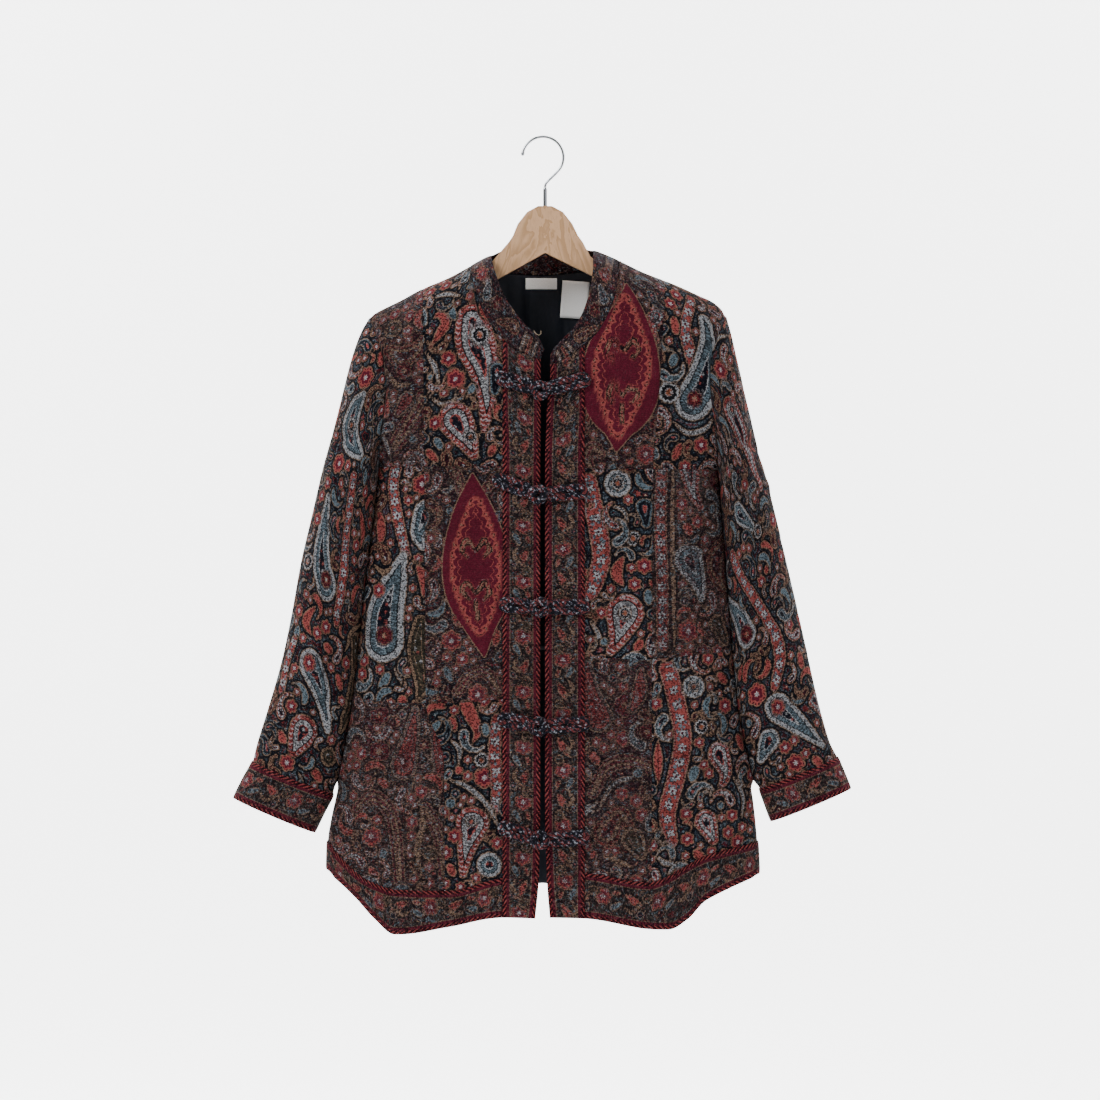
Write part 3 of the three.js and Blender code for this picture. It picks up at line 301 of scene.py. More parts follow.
def spread_columns(shares, counts):
    """Numbers of the stops before the fine columns, with the shares of the way to the next."""
    stops, places = [], []
    for i, (part, steps) in enumerate(zip(shares, counts)):
        fine = np.interp(spread(steps), range(len(part)), part)
        stops.append(np.full(len(fine) - 1, i))
        places.append(fine[:-1])
    stops.append([len(shares) - 1])
    places.append([1.0])
    return np.concatenate(stops), np.concatenate(places)


def beside_gap(side, z):
    """How far side seam and sleeve each move over, so that they touch from the underarm to the cuffs."""
    touch, most, underarm, cuff = 1.6, 6, 384, 748
    inner = np.interp(-z, [-row["inZ"] for row in side["sleeve"]], [row["inX"] for row in side["sleeve"]])
    gap = inner - read(side["side"], "z", "x", z)
    return np.clip((gap + touch) / 2, 0, most) * ease((-z - underarm) / 4) * (1 - ease((-z - cuff) / 14))


def side_grid(side, face, rows, columns, creases):
    """Grid of one side of a panel, from the centre outwards and from the top down."""
    stop, share = columns
    lines = []
    for row in rows:
        end_x, end_z = row_end(side, face, row)
        middle = row_height(side, face, row, side["placketX"])
        stops = [0.0, side["neckX"]]
        if face == FRONT:
            stops = [float(read(OPENING, "z", side["name"], middle)), side["placketX"], side["neckX"]]
        stops = np.array(stops + [float(read(side["seam"], "z", "x", end_z)), end_x])
        x = mix(stops[stop], stops[stop + 1], share)
        z = row_height(side, face, row, x)
        last = np.where(stop == len(stops) - 2, np.clip((share - 0.93) / 0.07, 0, 1), 0)
        z = mix(z, end_z, last)
        lines.append(np.stack([side["sign"] * x, z], axis=1))
    flat = np.array(lines)
    x, z = flat[..., 0], flat[..., 1]
    y = face * body_depth(face, x, z, creases)
    on_shoulder = (rows == 0)[:, None] & (np.abs(x) > side["neckX"] - GAP)
    on_seam = (rows >= UNDERARM_ROW)[:, None] & (np.arange(x.shape[1]) == x.shape[1] - 1)[None]
    y = np.where(on_shoulder, face * GAP / 2, np.where(on_seam, face * SIDE_SEAM_Y, y))
    share = np.clip(np.abs(x) / read(side["side"], "z", "x", z), 0, 1)
    x = x + side["sign"] * beside_gap(side, z) * share ** 5
    return np.stack([x, y, z], axis=-1)


def outward(grid, hint, wrap=False):
    """Outward unit directions at the points of a grid, turned to agree with the hint."""
    if wrap:
        wide = np.concatenate([grid[:, -1:], grid, grid[:, :1]], axis=1)
    else:
        wide = np.concatenate([grid[:, :1], grid, grid[:, -1:]], axis=1)
    tall = np.concatenate([grid[:1], grid, grid[-1:]], axis=0)
    along = wide[:, 2:] - wide[:, :-2]
    down = tall[2:] - tall[:-2]
    dirs = unit(np.cross(down, along))
    turned = np.sum(dirs * hint, axis=-1, keepdims=True) < 0
    return np.where(turned, -dirs, dirs)


def shape_edges(grid, dirs, side, column, rows, on_shoulder):
    """Directions on the armhole, the side seam and the shoulder seam, as the pieces are cut there."""
    middle = (side["shoulderPoint"]["z"] + side["underarm"]["z"]) / 2
    upper = rows <= UNDERARM_ROW
    hole = np.stack([grid[:, column, 0] * 0, grid[:, column, 1], grid[:, column, 2] - middle], axis=-1)
    flat = dirs[:, column] * [1, 0, 1]
    dirs[:, column] = unit(np.where(upper[:, None], hole, flat))
    dirs[0, on_shoulder] = unit(dirs[0, on_shoulder] * [1, 0, 1])


def arc_lengths(grid, axis):
    steps = np.linalg.norm(np.diff(grid, axis=axis), axis=-1)
    start = np.zeros_like(np.take(steps, [0], axis=axis))
    return np.concatenate([start, np.cumsum(steps, axis=axis)], axis=axis)


class Panel:
    """A grid of points with outward directions and flat cloth coordinates, u across and v down."""

    def __init__(self, grid, dirs, u=None, v=None, wrap=False):
        self.grid, self.dirs, self.wrap = grid, dirs, wrap
        self.u = arc_lengths(grid, 1) if u is None else u
        self.v = arc_lengths(grid, 0) if v is None else v

    def part(self, r0, r1, c0, c1):
        pick = (slice(r0, r1 + 1), slice(c0, c1 + 1))
        copies = self.grid[pick].copy(), self.dirs[pick].copy()
        return Panel(*copies, self.u[pick], self.v[pick], self.wrap)


def front_panel(side, creases):
    rows = spread(FRONT_ROWS)
    columns = spread_columns(FRONT_SHARES, FRONT_COLUMNS)
    grid = side_grid(side, FRONT, rows, columns, creases)
    dirs = outward(grid, [0, -1, 0])
    last = grid.shape[1] - 1
    shape_edges(grid, dirs, side, last, rows, np.arange(FRONT_CORNER, last))
    return Panel(grid, dirs)


def back_panel(creases):
    rows = spread(BACK_ROWS)
    columns = spread_columns(BACK_SHARES, BACK_COLUMNS)
    right = side_grid(RIGHT, BACK, rows, columns, creases)
    left = side_grid(LEFT, BACK, rows, columns, creases)
    grid = np.concatenate([right[:, ::-1], left[:, 1:]], axis=1)
    dirs = outward(grid, [0, 1, 0])
    last = grid.shape[1] - 1
    shape_edges(grid, dirs, RIGHT, 0, rows, np.arange(1, BACK_CORNER + 1))
    shape_edges(grid, dirs, LEFT, last, rows, np.arange(last - BACK_CORNER, last))
    return Panel(grid, dirs)


def sleeve_panel(side, front, back, creases_front, creases_back):
    """Rings from the armhole to the cuff edge, with the armhole's form fading out down the arm."""
    count = sum(UPPER_ROWS)
    edge = 0 if side is RIGHT else back.grid.shape[1] - 1
    hole = np.concatenate([front.grid[: count + 1, -1], back.grid[count - 1:0:-1, edge]])
    first = side["sleeve"][0]
    ring0 = dict(outX=side["shoulderPoint"]["x"], outZ=hole[0, 2], inX=side["underarm"]["x"],
                 inZ=hole[count, 2], depth=first["depth"] - 1, arm=1)
    table = [dict(row, i=i) for i, row in enumerate([ring0] + side["sleeve"])]
    middle = (ring0["outZ"] + ring0["inZ"]) / 2
    half = (ring0["outZ"] - ring0["inZ"]) / 2
    angle = np.arctan2(-hole[:, 1] / ring0["depth"], (hole[:, 2] - middle) / half)
    at = spread(SLEEVE_ROWS)
    get = {key: read(table, "i", key, at)[:, None] for key in first}
    reach = (1 + np.cos(angle))[None] / 2
    grid = np.stack([
        side["sign"] * mix(get["inX"], get["outX"], reach),
        -get["depth"] * np.sin(angle)[None],
        mix(get["inZ"], get["outZ"], reach),
    ], axis=-1)
    offsets = hole - grid[0]
    grid = grid + offsets[None] * get["arm"][..., None]
    grid[..., 0] -= side["sign"] * beside_gap(side, get["inZ"]) * (1 - reach) ** 3
    start = ease(at / 0.5)[:, None]
    grid[..., 0] += side["sign"] * 0.4 * (1 - start)
    centres = grid.mean(axis=1, keepdims=True) * [1, 0, 1]
    dirs = outward(grid, grid - centres, wrap=True)
    fore = ease((-grid[..., 1] + 6) / 12)
    x, z = grid[..., 0], grid[..., 2]
    bump = fore * crease_height(creases_front, x, z) + (1 - fore) * crease_height(creases_back, x, z)
    grid += dirs * (bump * ease(at / 1.2)[:, None])[..., None]
    dirs = outward(grid, grid - centres, wrap=True)
    dirs[0] = unit(np.stack([hole[:, 0] * 0, hole[:, 1], hole[:, 2] - middle], axis=-1))
    steps = np.linalg.norm(np.diff(np.concatenate([grid, grid[:, :1]], axis=1), axis=1), axis=-1)
    around = np.concatenate([np.zeros((len(grid), 1)), np.cumsum(steps, axis=1)[:, :-1]], axis=1)
    return Panel(grid, dirs, u=around, wrap=True)


def collar_panel(right, left, back, rows=22):
    """The stand collar, up from the seam round the neck, with a tuck behind that seam."""
    last = back.grid.shape[1] - 1 - BACK_CORNER
    seam = np.concatenate([right.grid[0, :FRONT_CORNER], back.grid[0, BACK_CORNER:last + 1],
                           left.grid[0, :FRONT_CORNER][::-1]])
    count = len(seam)
    is_back = (np.arange(count) >= FRONT_CORNER) & (np.arange(count) < count - FRONT_CORNER)
    base = seam.copy()
    tops = []
    for point, behind in zip(seam, is_back):
        side = RIGHT if point[0] < 0 else LEFT
        table = side["collarBack" if behind else "collarFront"]
        away = abs(point[0])
        x, z, lean = (float(read(table, "seam", key, away)) for key in ("x", "z", "lean"))
        y = 0.0 if away > side["neckX"] - GAP else point[1]
        tops.append([side["sign"] * x, y - lean if behind else y + lean, z])
    tops = np.array(tops)
    corner_points = np.abs(base[:, 0]) > np.where(base[:, 0] < 0, RIGHT["neckX"], LEFT["neckX"]) - GAP
    base[corner_points, 1] = 0
    base += unit(tops - base) * COLLAR_LIFT
    bow = unit(base * [1, 1, 0])
    level = np.linspace(1, 0, rows)[:, None, None]
    grid = mix(base[None], tops[None], level) + bow[None] * 4 * level * (1 - level)
    tuck = base - unit(tops - base) * 1.8 - bow * 2.0
    grid = np.concatenate([grid, tuck[None]])
    return Panel(grid, outward(grid, grid * [1, 1, 0]))


def lining_panel(rows=70, columns=72):
    """The part of the lining that shows in the neck, on the back's inner side."""
    grid = np.zeros((rows + 1, columns + 1, 3))
    x = np.linspace(-128, 128, columns + 1)
    for c, place in enumerate(x):
        side = RIGHT if place < 0 else LEFT
        away = abs(place)
        free = 26 * ease((away - side["neckX"] + 28) / 26)
        top = float(top_edge(side, BACK, away)) - float(free) - 1
        grid[:, c, 0] = place
        grid[:, c, 2] = mix(top, -600, (np.arange(rows + 1) / rows) ** 1.5)
    grid[..., 1] = body_depth(BACK, grid[..., 0], grid[..., 2])
    dirs = outward(grid, [0, 1, 0])
    grid -= dirs * (CLOTH + LINING_GAP)
    return Panel(grid, dirs)


def label_panel(x, z, wide, high, tilt, rows=14, columns=14):
    """A label on the lining, turned by its tilt."""
    across, down = np.meshgrid(np.linspace(-0.5, 0.5, columns) * wide,
                               np.linspace(-0.5, 0.5, rows) * high)
    px = x + across * math.cos(tilt) - down * math.sin(tilt)
    pz = z - across * math.sin(tilt) - down * math.cos(tilt)
    inside = CLOTH + LINING_GAP + LINING + 1.2 + 2 * GAP
    y = body_depth(BACK, px, pz) - inside
    grid = np.stack([px, y, pz], axis=-1)
    return Panel(grid, outward(grid, [0, -1, 0]))


# Meshes

def rounded(rows, cols, dips, wrap):
    """How far the outer and inner faces are drawn in towards the cloth's middle at its edges."""
    amount = np.zeros((rows, cols))
    r, c = np.arange(rows)[:, None], np.arange(cols)[None]
    away = {"top": r, "bottom": rows - 1 - r, "start": c, "end": cols - 1 - c}
    for edge, depth in dips.items():
        if wrap and edge in ("start", "end"):
            continue
        steps = away[edge]
        round_off = np.select([steps == 0, steps == 1, steps == 2], [1, 0.42, 0.12], 0)
        amount = np.maximum(amount, depth * round_off)
    return amount


def new_object(name, points, faces, slots, materials):
    """A smooth mesh from points in millimetres."""
    mesh = bpy.data.meshes.new(name)
    mesh.from_pydata((np.asarray(points) * MM).tolist(), [], faces)
    for material in materials:
        mesh.materials.append(material)
    if slots is not None:
        mesh.polygons.foreach_set("material_index", np.asarray(slots, np.int32))
    mesh.polygons.foreach_set("use_smooth", np.ones(len(mesh.polygons), bool))
    mesh.update()
    obj = bpy.data.objects.new(name, mesh)
    bpy.context.scene.collection.objects.link(obj)
    return obj


def set_attribute(obj, name, values):
    """A point attribute: one number, a vector or a colour with alpha for each vertex."""
    values = np.asarray(values, np.float32)
    kinds = {1: ("FLOAT", "value"), 3: ("FLOAT_VECTOR", "vector"), 4: ("FLOAT_COLOR", "color")}
    kind, field = kinds[1 if values.ndim == 1 else values.shape[1]]
    attribute = obj.data.attributes.new(name, kind, "POINT")
    attribute.data.foreach_set(field, values.ravel())


def cloth(name, panel, low, high, materials, dips, fields):
    """A thin closed shell between two distances from the panel's points, its outer face first."""
    rows, cols = panel.grid.shape[:2]
    dip = rounded(rows, cols, dips, panel.wrap)[..., None]
    outer = panel.grid + panel.dirs * (high - dip)
    inner = panel.grid + panel.dirs * (low + 0.4 * dip)
    points = np.concatenate([outer.reshape(-1, 3), inner.reshape(-1, 3)])
    steps = cols if panel.wrap else cols - 1
    r, c = np.meshgrid(np.arange(rows - 1), np.arange(steps), indexing="ij")
    a = (r * cols + c).ravel()
    b = (r * cols + (c + 1) % cols).ravel()
    quads = np.stack([a, b, b + cols, a + cols], axis=1)
    layer = rows * cols
    c0 = np.arange(steps)
    c1 = (c0 + 1) % cols
    foot = (rows - 1) * cols
    edges = [(c1, c0), (foot + c0, foot + c1)]
    if not panel.wrap:
        r0 = np.arange(rows - 1) * cols
        r1 = r0 + cols - 1
        edges += [(r0, r0 + cols), (r1 + cols, r1)]
    rim = np.concatenate([np.stack([p, q, q + layer, p + layer], axis=1) for p, q in edges])
    faces = np.concatenate([quads, (quads + layer)[:, ::-1], rim])
    normal = np.cross(outer[1, 0] - outer[0, 0], outer[0, 1] - outer[0, 0])
    if np.dot(normal, panel.dirs[0, 0] + panel.dirs[1, 1]) > 0:
        faces = faces[:, ::-1]
    slots = np.concatenate([np.zeros(len(quads)), np.ones(len(quads)), np.zeros(len(rim))])
    obj = new_object(name, points, faces.tolist(), slots, materials)
    u, v = panel.u.ravel(), panel.v.ravel()
    flat = np.stack([u, v, np.zeros_like(u)], axis=1)
    set_attribute(obj, "cloth", np.concatenate([flat, flat]))
    for key, values in (fields or {}).items():
        set_attribute(obj, key, np.concatenate([values, values]))
    return obj


def tube(name, path, radius, material, sides, closed=False, profile=None, flat=1):
    """A round tube along a path; profile shapes each ring, and flat squashes it along Y."""
    path = np.asarray(path, float)
    count = len(path)
    ahead = np.roll(path, -1, axis=0) - np.roll(path, 1, axis=0)
    if not closed:
        ahead[0], ahead[-1] = path[1] - path[0], path[-1] - path[-2]
    tangent = unit(ahead)
    side = unit(np.cross(tangent, [0.02, 1.0, 0.03]))
    up = np.cross(side, tangent)
    turn = np.arange(sides) / sides * 2 * np.pi
    radii = np.broadcast_to(np.asarray(radius, float), (count,))
    rings = []
    for i in range(count):
        r = radii[i] * (np.ones(sides) if profile is None else profile(i, turn))
        ring = side[i] * (r * np.cos(turn))[:, None] + up[i] * (r * np.sin(turn))[:, None]
        rings.append(path[i] + ring * [1, flat, 1])
    points = np.concatenate(rings)
    faces = []
    for i in range(count if closed else count - 1):
        j = (i + 1) % count
        for c in range(sides):
            d = (c + 1) % sides
            faces.append([i * sides + c, i * sides + d, j * sides + d, j * sides + c])
    if not closed:
        faces.append(list(range(sides))[::-1])
        faces.append([(count - 1) * sides + c for c in range(sides)])
    obj = new_object(name, points, faces, None, [material])
    lengths = np.concatenate([[0], np.cumsum(np.linalg.norm(np.diff(path, axis=0), axis=1))])
    along = np.repeat(lengths, sides)
    around = np.tile(turn, count)
    set_attribute(obj, "cord", np.stack([along, around, along * 0], axis=1))
    return obj


# Shader graphs

def colour(text):
    """A linear colour from an sRGB one written in hexadecimal."""
    parts = [int(text[i:i + 2], 16) / 255 for i in (0, 2, 4)]
    return tuple(p / 12.92 if p <= 0.04045 else ((p + 0.055) / 1.055) ** 2.4 for p in parts)


class Graph:
    """A material's node graph, written as arithmetic on sockets, colours and numbers."""

    def __init__(self, name):
        self.material = bpy.data.materials.new(name)
        self.material.use_nodes = True
        self.tree = self.material.node_tree
        self.tree.nodes.clear()
        self.shader = self.node("ShaderNodeBsdfPrincipled")
        self.output = self.node("ShaderNodeOutputMaterial")
        self.tree.links.new(self.shader.outputs[0], self.output.inputs[0])

    def node(self, kind, **settings):
        node = self.tree.nodes.new(kind)
        for key, value in settings.items():
            setattr(node, key, value)
        return node

    def put(self, socket, value):
        if isinstance(value, bpy.types.NodeSocket):
            self.tree.links.new(value, socket)
        elif socket.type == "RGBA" and len(value) == 3:
            socket.default_value = (*value, 1)
        else:
            socket.default_value = value

    def do(self, operation, a, b=None):
        node = self.node("ShaderNodeMath", operation=operation)
        for socket, value in zip(node.inputs, (a, b)):
            if value is not None:
                self.put(socket, value)
        return node.outputs[0]

    def add(self, a, b):
        return self.do("ADD", a, b)

    def sub(self, a, b):
        return self.do("SUBTRACT", a, b)

    def mul(self, a, b):
        return self.do("MULTIPLY", a, b)

    def both(self, *masks):
        total = masks[0]
        for mask in masks[1:]:
            total = self.mul(total, mask)
        return total

    def below(self, a, b):
        return self.do("LESS_THAN", a, b)

    def above(self, a, b):
        return self.do("GREATER_THAN", a, b)

    def between(self, a, low, high):
        return self.mul(self.above(a, low), self.below(a, high))

    def peak(self, a, b):
        return self.do("MAXIMUM", a, b)

    def size(self, a):
        return self.do("ABSOLUTE", a)

    def invert(self, a):
        return self.sub(1.0, a)

    def wave(self, a, period):
        return self.do("SINE", self.mul(a, 2 * math.pi / period))

    def soft(self, a, low, high):
        node = self.node("ShaderNodeMapRange", interpolation_type="SMOOTHSTEP")
        self.put(node.inputs[0], a)
        node.inputs[1].default_value, node.inputs[2].default_value = low, high
        return node.outputs[0]

    def blend(self, amount, a, b, kind="MIX"):
        node = self.node("ShaderNodeMix", data_type="RGBA", blend_type=kind)
        self.put(node.inputs[0], amount)
        self.put(node.inputs[6], a)
        self.put(node.inputs[7], b)
        return node.outputs[2]

    def paint(self, base, *layers):
        """Colours laid over a base one after the other, each with its mask."""
        for mask, tone in layers:
            base = self.blend(mask, base, tone)
        return base

    def ramp(self, value, stops):
        """Colours in steps: each holds from its stop to the next."""
        node = self.node("ShaderNodeValToRGB")
        node.color_ramp.interpolation = "CONSTANT"
        while len(node.color_ramp.elements) < len(stops):
            node.color_ramp.elements.new(0.5)
        for element, (at, tone) in zip(node.color_ramp.elements, stops):
            element.position, element.color = at, (*tone, 1)
        self.put(node.inputs[0], value)
        return node.outputs[0]

    def object_place(self):
        """Place on the object in millimetres."""
        return self.scaled(self.node("ShaderNodeTexCoord").outputs["Object"], 1 / MM)

    def attribute(self, name):
        return self.node("ShaderNodeAttribute", attribute_type="GEOMETRY", attribute_name=name)

    def parts(self, vector):
        node = self.node("ShaderNodeSeparateXYZ")
        self.put(node.inputs[0], vector)
        return node.outputs

    def vector(self, x, y, z=0.0):
        node = self.node("ShaderNodeCombineXYZ")
        for socket, value in zip(node.inputs, (x, y, z)):
            self.put(socket, value)
        return node.outputs[0]

    def noise(self, place, scale, detail=2.0, distortion=0.0, shift=None):
        node = self.node("ShaderNodeTexNoise")
        if shift is not None:
            node.noise_dimensions = "4D"
            node.inputs["W"].default_value = shift
        self.put(node.inputs["Vector"], place)
        node.inputs["Scale"].default_value = scale
        node.inputs["Detail"].default_value = detail
        node.inputs["Distortion"].default_value = distortion
        return node.outputs[0]

    def scaled(self, place, by):
        node = self.node("ShaderNodeVectorMath", operation="SCALE")
        self.put(node.inputs[0], place)
        node.inputs["Scale"].default_value = by
        return node.outputs[0]

    def bump(self, height):
        node = self.node("ShaderNodeBump")
        node.inputs["Strength"].default_value = 1.0
        node.inputs["Distance"].default_value = MM
        self.put(node.inputs["Height"], height)
        return node.outputs[0]

    def finish(self, base, roughness, normal=None, **constants):
        self.put(self.shader.inputs["Base Color"], base)
        self.put(self.shader.inputs["Roughness"], roughness)
        if normal is not None:
            self.put(self.shader.inputs["Normal"], normal)
        for key, value in constants.items():
            self.put(self.shader.inputs[key.replace("_", " ")], value)
        return self.material


# Colours of the yarns
NAVY, INK = colour("0f1220"), colour("07080f")
CORAL, BRICK = colour("ac5450"), colour("752a2c")
BURGUNDY, WINE = colour("641b2e"), colour("380f1b")
PALE, BLUE = colour("b4b4b8"), colour("6d7f8a")
CREAM, TAN = colour("bda58e"), colour("9a7d68")
OLIVE, STONE = colour("413b2f"), colour("6f6763")
ORANGE = colour("a05a3f")


def floret(g, place, size, seed):
    """Small flowers, one to a cell: their mask, random numbers and the distance from the middle."""
    shifted = g.node("ShaderNodeVectorMath", operation="MULTIPLY_ADD")
    g.put(shifted.inputs[0], place)
    shifted.inputs[1].default_value = (1 / size,) * 3
    shifted.inputs[2].default_value = (seed, seed * 1.7, 0)
    cells = g.node("ShaderNodeTexVoronoi", voronoi_dimensions="2D")
    g.put(cells.inputs["Vector"], shifted.outputs[0])
    cells.inputs["Scale"].default_value = 1.0
    cells.inputs["Randomness"].default_value = 0.85
    local = g.node("ShaderNodeVectorMath", operation="SUBTRACT")
    g.put(local.inputs[0], shifted.outputs[0])
    g.put(local.inputs[1], cells.outputs["Position"])
    x, y, _ = g.parts(local.outputs[0])
    away = g.mul(cells.outputs["Distance"], size)
    random = g.parts(cells.outputs["Color"])
    turn = g.add(g.do("ARCTAN2", y, x), g.mul(random[2], 6.3))
    petal = g.add(0.5, g.mul(g.size(g.do("COSINE", g.mul(turn, 2.5))), 0.5))
    reach = g.mul(petal, g.add(size * 0.24, g.mul(random[1], size * 0.14)))
    return g.below(away, reach), random, away


def tapestry(name):
    """Thick figured tapestry: the woven figures come from the cloth's own fields, the rest from noise.

    d is the distance from a figure's edge, negative inside, and t the same in shares of its outer band.
    """
    g = Graph(name)
    place = g.attribute("cloth").outputs["Vector"]
    u, v, _ = g.parts(place)
    away, along, across = g.parts(g.attribute("motif").outputs["Vector"])
    width, scallop, period = g.parts(g.attribute("look").outputs["Vector"])
    edge_a, edge_b, run = g.parts(g.attribute("edge").outputs["Vector"])
    ground, band, inner, core = (g.attribute(key) for key in ("ground", "band", "inner", "core"))
    ground_tone, fill = ground.outputs["Color"], ground.outputs["Alpha"]
    band_tone, flecked = band.outputs["Color"], band.outputs["Alpha"]
    inner_tone, dashed = inner.outputs["Color"], inner.outputs["Alpha"]
    core_tone, mark = core.outputs["Color"], core.outputs["Alpha"]
    veil = g.attribute("veil").outputs["Fac"]
    grain = g.noise(place, 0.62, 1.5)
    fine = g.noise(place, 1.35, 2.0, shift=3.0)
    broad = g.noise(place, 0.055, 3.0, shift=1.0)
    jitter = g.mul(g.sub(grain, 0.5), 3.0)
    lobes = g.mul(scallop, g.size(g.do("SINE", g.do("DIVIDE", g.mul(along, math.pi), period))))
    d = g.sub(g.add(away, jitter), lobes)

    # Ground: mottled, with small flowers in dark halos and curling stems
    mottle = g.soft(g.add(broad, g.mul(g.sub(grain, 0.5), 0.35)), 0.36, 0.64)
    base = g.blend(g.mul(mottle, 0.62), ground_tone, g.blend(0.5, ground_tone, INK))
    open_ground = g.above(d, 2.6)
    flowers = stems = 0.0
    for size, seed, share in ((15.0, 3.1, 1.0), (8.5, 11.7, 0.8)):
        mask, random, middle = floret(g, place, size, seed)
        petals = g.ramp(random[0], [(0.0, BRICK), (0.27, BLUE), (0.55, CORAL), (0.68, BURGUNDY), (0.84, TAN)])
        grown = g.both(open_ground, g.below(random[1], g.mul(fill, share)))
        shown = g.mul(mask, grown)
        heart = g.both(shown, g.below(middle, size * 0.085), g.above(random[2], 0.55))
        base = g.paint(base, (g.both(g.below(middle, size * 0.42), grown, 0.55), INK),
                       (g.mul(shown, 0.9), petals), (heart, CREAM))
        flowers = g.peak(flowers, shown)
    dashes = g.above(g.add(grain, g.mul(g.wave(g.add(u, v), 4.2), 0.12)), 0.4)
    for scale, seed, tone, thick in ((0.03, 5.0, TAN, 0.011), (0.036, 9.0, BLUE, 0.012),
                                     (0.032, 14.0, BRICK, 0.013)):
        near = g.below(g.size(g.sub(g.noise(place, scale, 0.6, 1.4, shift=seed), 0.5)), thick)
        shown = g.both(near, dashes, open_ground, g.above(fill, 0.03), g.invert(flowers))
        base = g.blend(g.mul(shown, 0.8), base, tone)
        stems = g.peak(stems, shown)

    # Figures: flecked outer band, dashed inner band, core with petals; some are quiet, with dots alone
    quiet = g.between(mark, 0.1, 0.24)
    row = g.above(mark, 0.75)
    t = g.do("DIVIDE", g.mul(d, -1), width)
    chain = g.wave(g.add(along, g.mul(g.size(g.sub(t, 0.5)), 5.0)), 5.6)
    fleck = g.both(g.above(chain, 0.5), g.between(t, 0.12, 0.86), flecked)
    split = g.both(g.below(chain, -0.82), g.between(t, 0.06, 0.92), flecked)
    dash = g.both(g.above(g.wave(along, 4.4), 0.1), dashed)
    mask, random, _ = floret(g, place, 8.0, 23.0)
    petals = g.blend(g.above(random[0], 0.5), CORAL, PALE)
    heart = g.blend(g.mul(mask, g.sub(0.75, g.mul(quiet, 0.75))), core_tone, petals)
    dots = g.both(quiet, g.above(g.wave(along, 4.6), 0.1), g.between(t, 0.3, 0.68))
    figure = g.paint(
        band_tone, (g.mul(fleck, 0.8), inner_tone), (g.mul(split, 0.75), INK), (dots, WINE),
        (g.both(g.above(t, 0.95), g.invert(quiet)), INK),
        (g.above(t, 1.14), g.blend(g.mul(dash, 0.85), inner_tone, INK)),
        (g.above(t, 2.05), band_tone), (g.above(t, 2.24), heart))

    # Daisies in a row along a stippled column, and the vein of a leaf
    step = g.sub(g.mul(g.do("FRACT", g.do("DIVIDE", along, 17.0)), 17.0), 8.5)
    radius = g.do("SQRT", g.add(g.mul(step, step), g.mul(across, across)))
    turn = g.do("ARCTAN2", across, step)
    petal = g.add(2.4, g.mul(g.size(g.do("COSINE", g.mul(turn, 3.0))), 3.2))
    vein = g.both(g.between(mark, 0.25, 0.75), g.below(across, 0.55), g.below(d, -0.9))
    daisy = g.both(g.below(radius, petal), row)
    figure = g.paint(
        figure, (g.both(row, g.above(t, 1.14)), CORAL),
        (g.both(row, g.above(t, 1.5), g.above(fine, 0.56), 0.7), BRICK),
        (g.both(row, mask, g.above(t, 1.6)), BLUE), (g.mul(vein, 0.8), INK),
        (g.both(g.between(g.sub(radius, petal), 0.0, 0.8), row, 0.7), INK), (daisy, PALE),
        (g.both(daisy, g.below(radius, 1.6)), BURGUNDY))

    # Figures on their ground: dark gap, tan outline, and two broken lines that echo the edge
    outline = g.between(d, -0.85, 0.55)
    bare = g.below(veil, 0.4)
    colours = g.paint(
        base, (g.mul(g.between(d, 0.0, 1.9), 0.85), INK), (g.below(d, 0.0), figure), (g.mul(outline, 0.72), TAN),
        (g.both(g.between(d, 2.9, 3.8), g.above(g.wave(along, 3.4), -0.5), bare, 0.62), BLUE),
        (g.both(g.between(d, 4.9, 5.8), g.above(grain, 0.4), bare, 0.6), BRICK))

    # Loose yarns that veil the figures where the cloth shows its duller side
    threads = g.noise(g.vector(g.mul(u, 0.42), v), 0.85, 2.0, shift=21.0)
    hue = g.noise(g.vector(g.mul(u, 0.5), v), 0.5, 1.5, shift=31.0)
    yarns = g.ramp(hue, [(0.0, WINE), (0.4, INK), (0.465, STONE), (0.52, BURGUNDY), (0.57, OLIVE), (0.62, BLUE)])
    hidden = g.above(threads, g.sub(0.66, g.mul(veil, 0.28)))
    colours = g.blend(g.mul(hidden, g.add(0.25, g.mul(veil, 0.75))), colours, yarns)

    # Rope twists and plain stripes along the edges of the bands
    ropes = 0.0
    for edge in (edge_a, edge_b):
        near = g.below(edge, 4.6)
        twist = g.wave(g.add(run, g.mul(edge, 1.5)), 6.6)
        strand = g.blend(g.above(g.add(twist, g.sub(grain, 0.5)), 0.62), BRICK, CORAL)
        rope = g.paint(BURGUNDY, (g.above(twist, 0.05), strand), (g.below(twist, -0.6), INK))
        colours = g.paint(colours, (g.mul(g.between(edge, 4.6, 8.0), 0.9), BURGUNDY),
                          (g.mul(g.between(edge, 8.0, 9.0), 0.5), TAN), (near, rope))
        ropes = g.peak(ropes, g.mul(near, g.add(0.5, g.mul(twist, 0.4))))

    # Single yarns that show darker or lighter
    yarn = g.noise(g.vector(g.mul(u, 0.8), v), 0.62, 1.5, shift=41.0)
    calm = g.invert(g.mul(quiet, 0.6))
    colours = g.paint(colours, (g.both(g.above(yarn, 0.53), calm, 0.8), INK),
                      (g.both(g.below(yarn, 0.38), calm, 0.3), STONE))

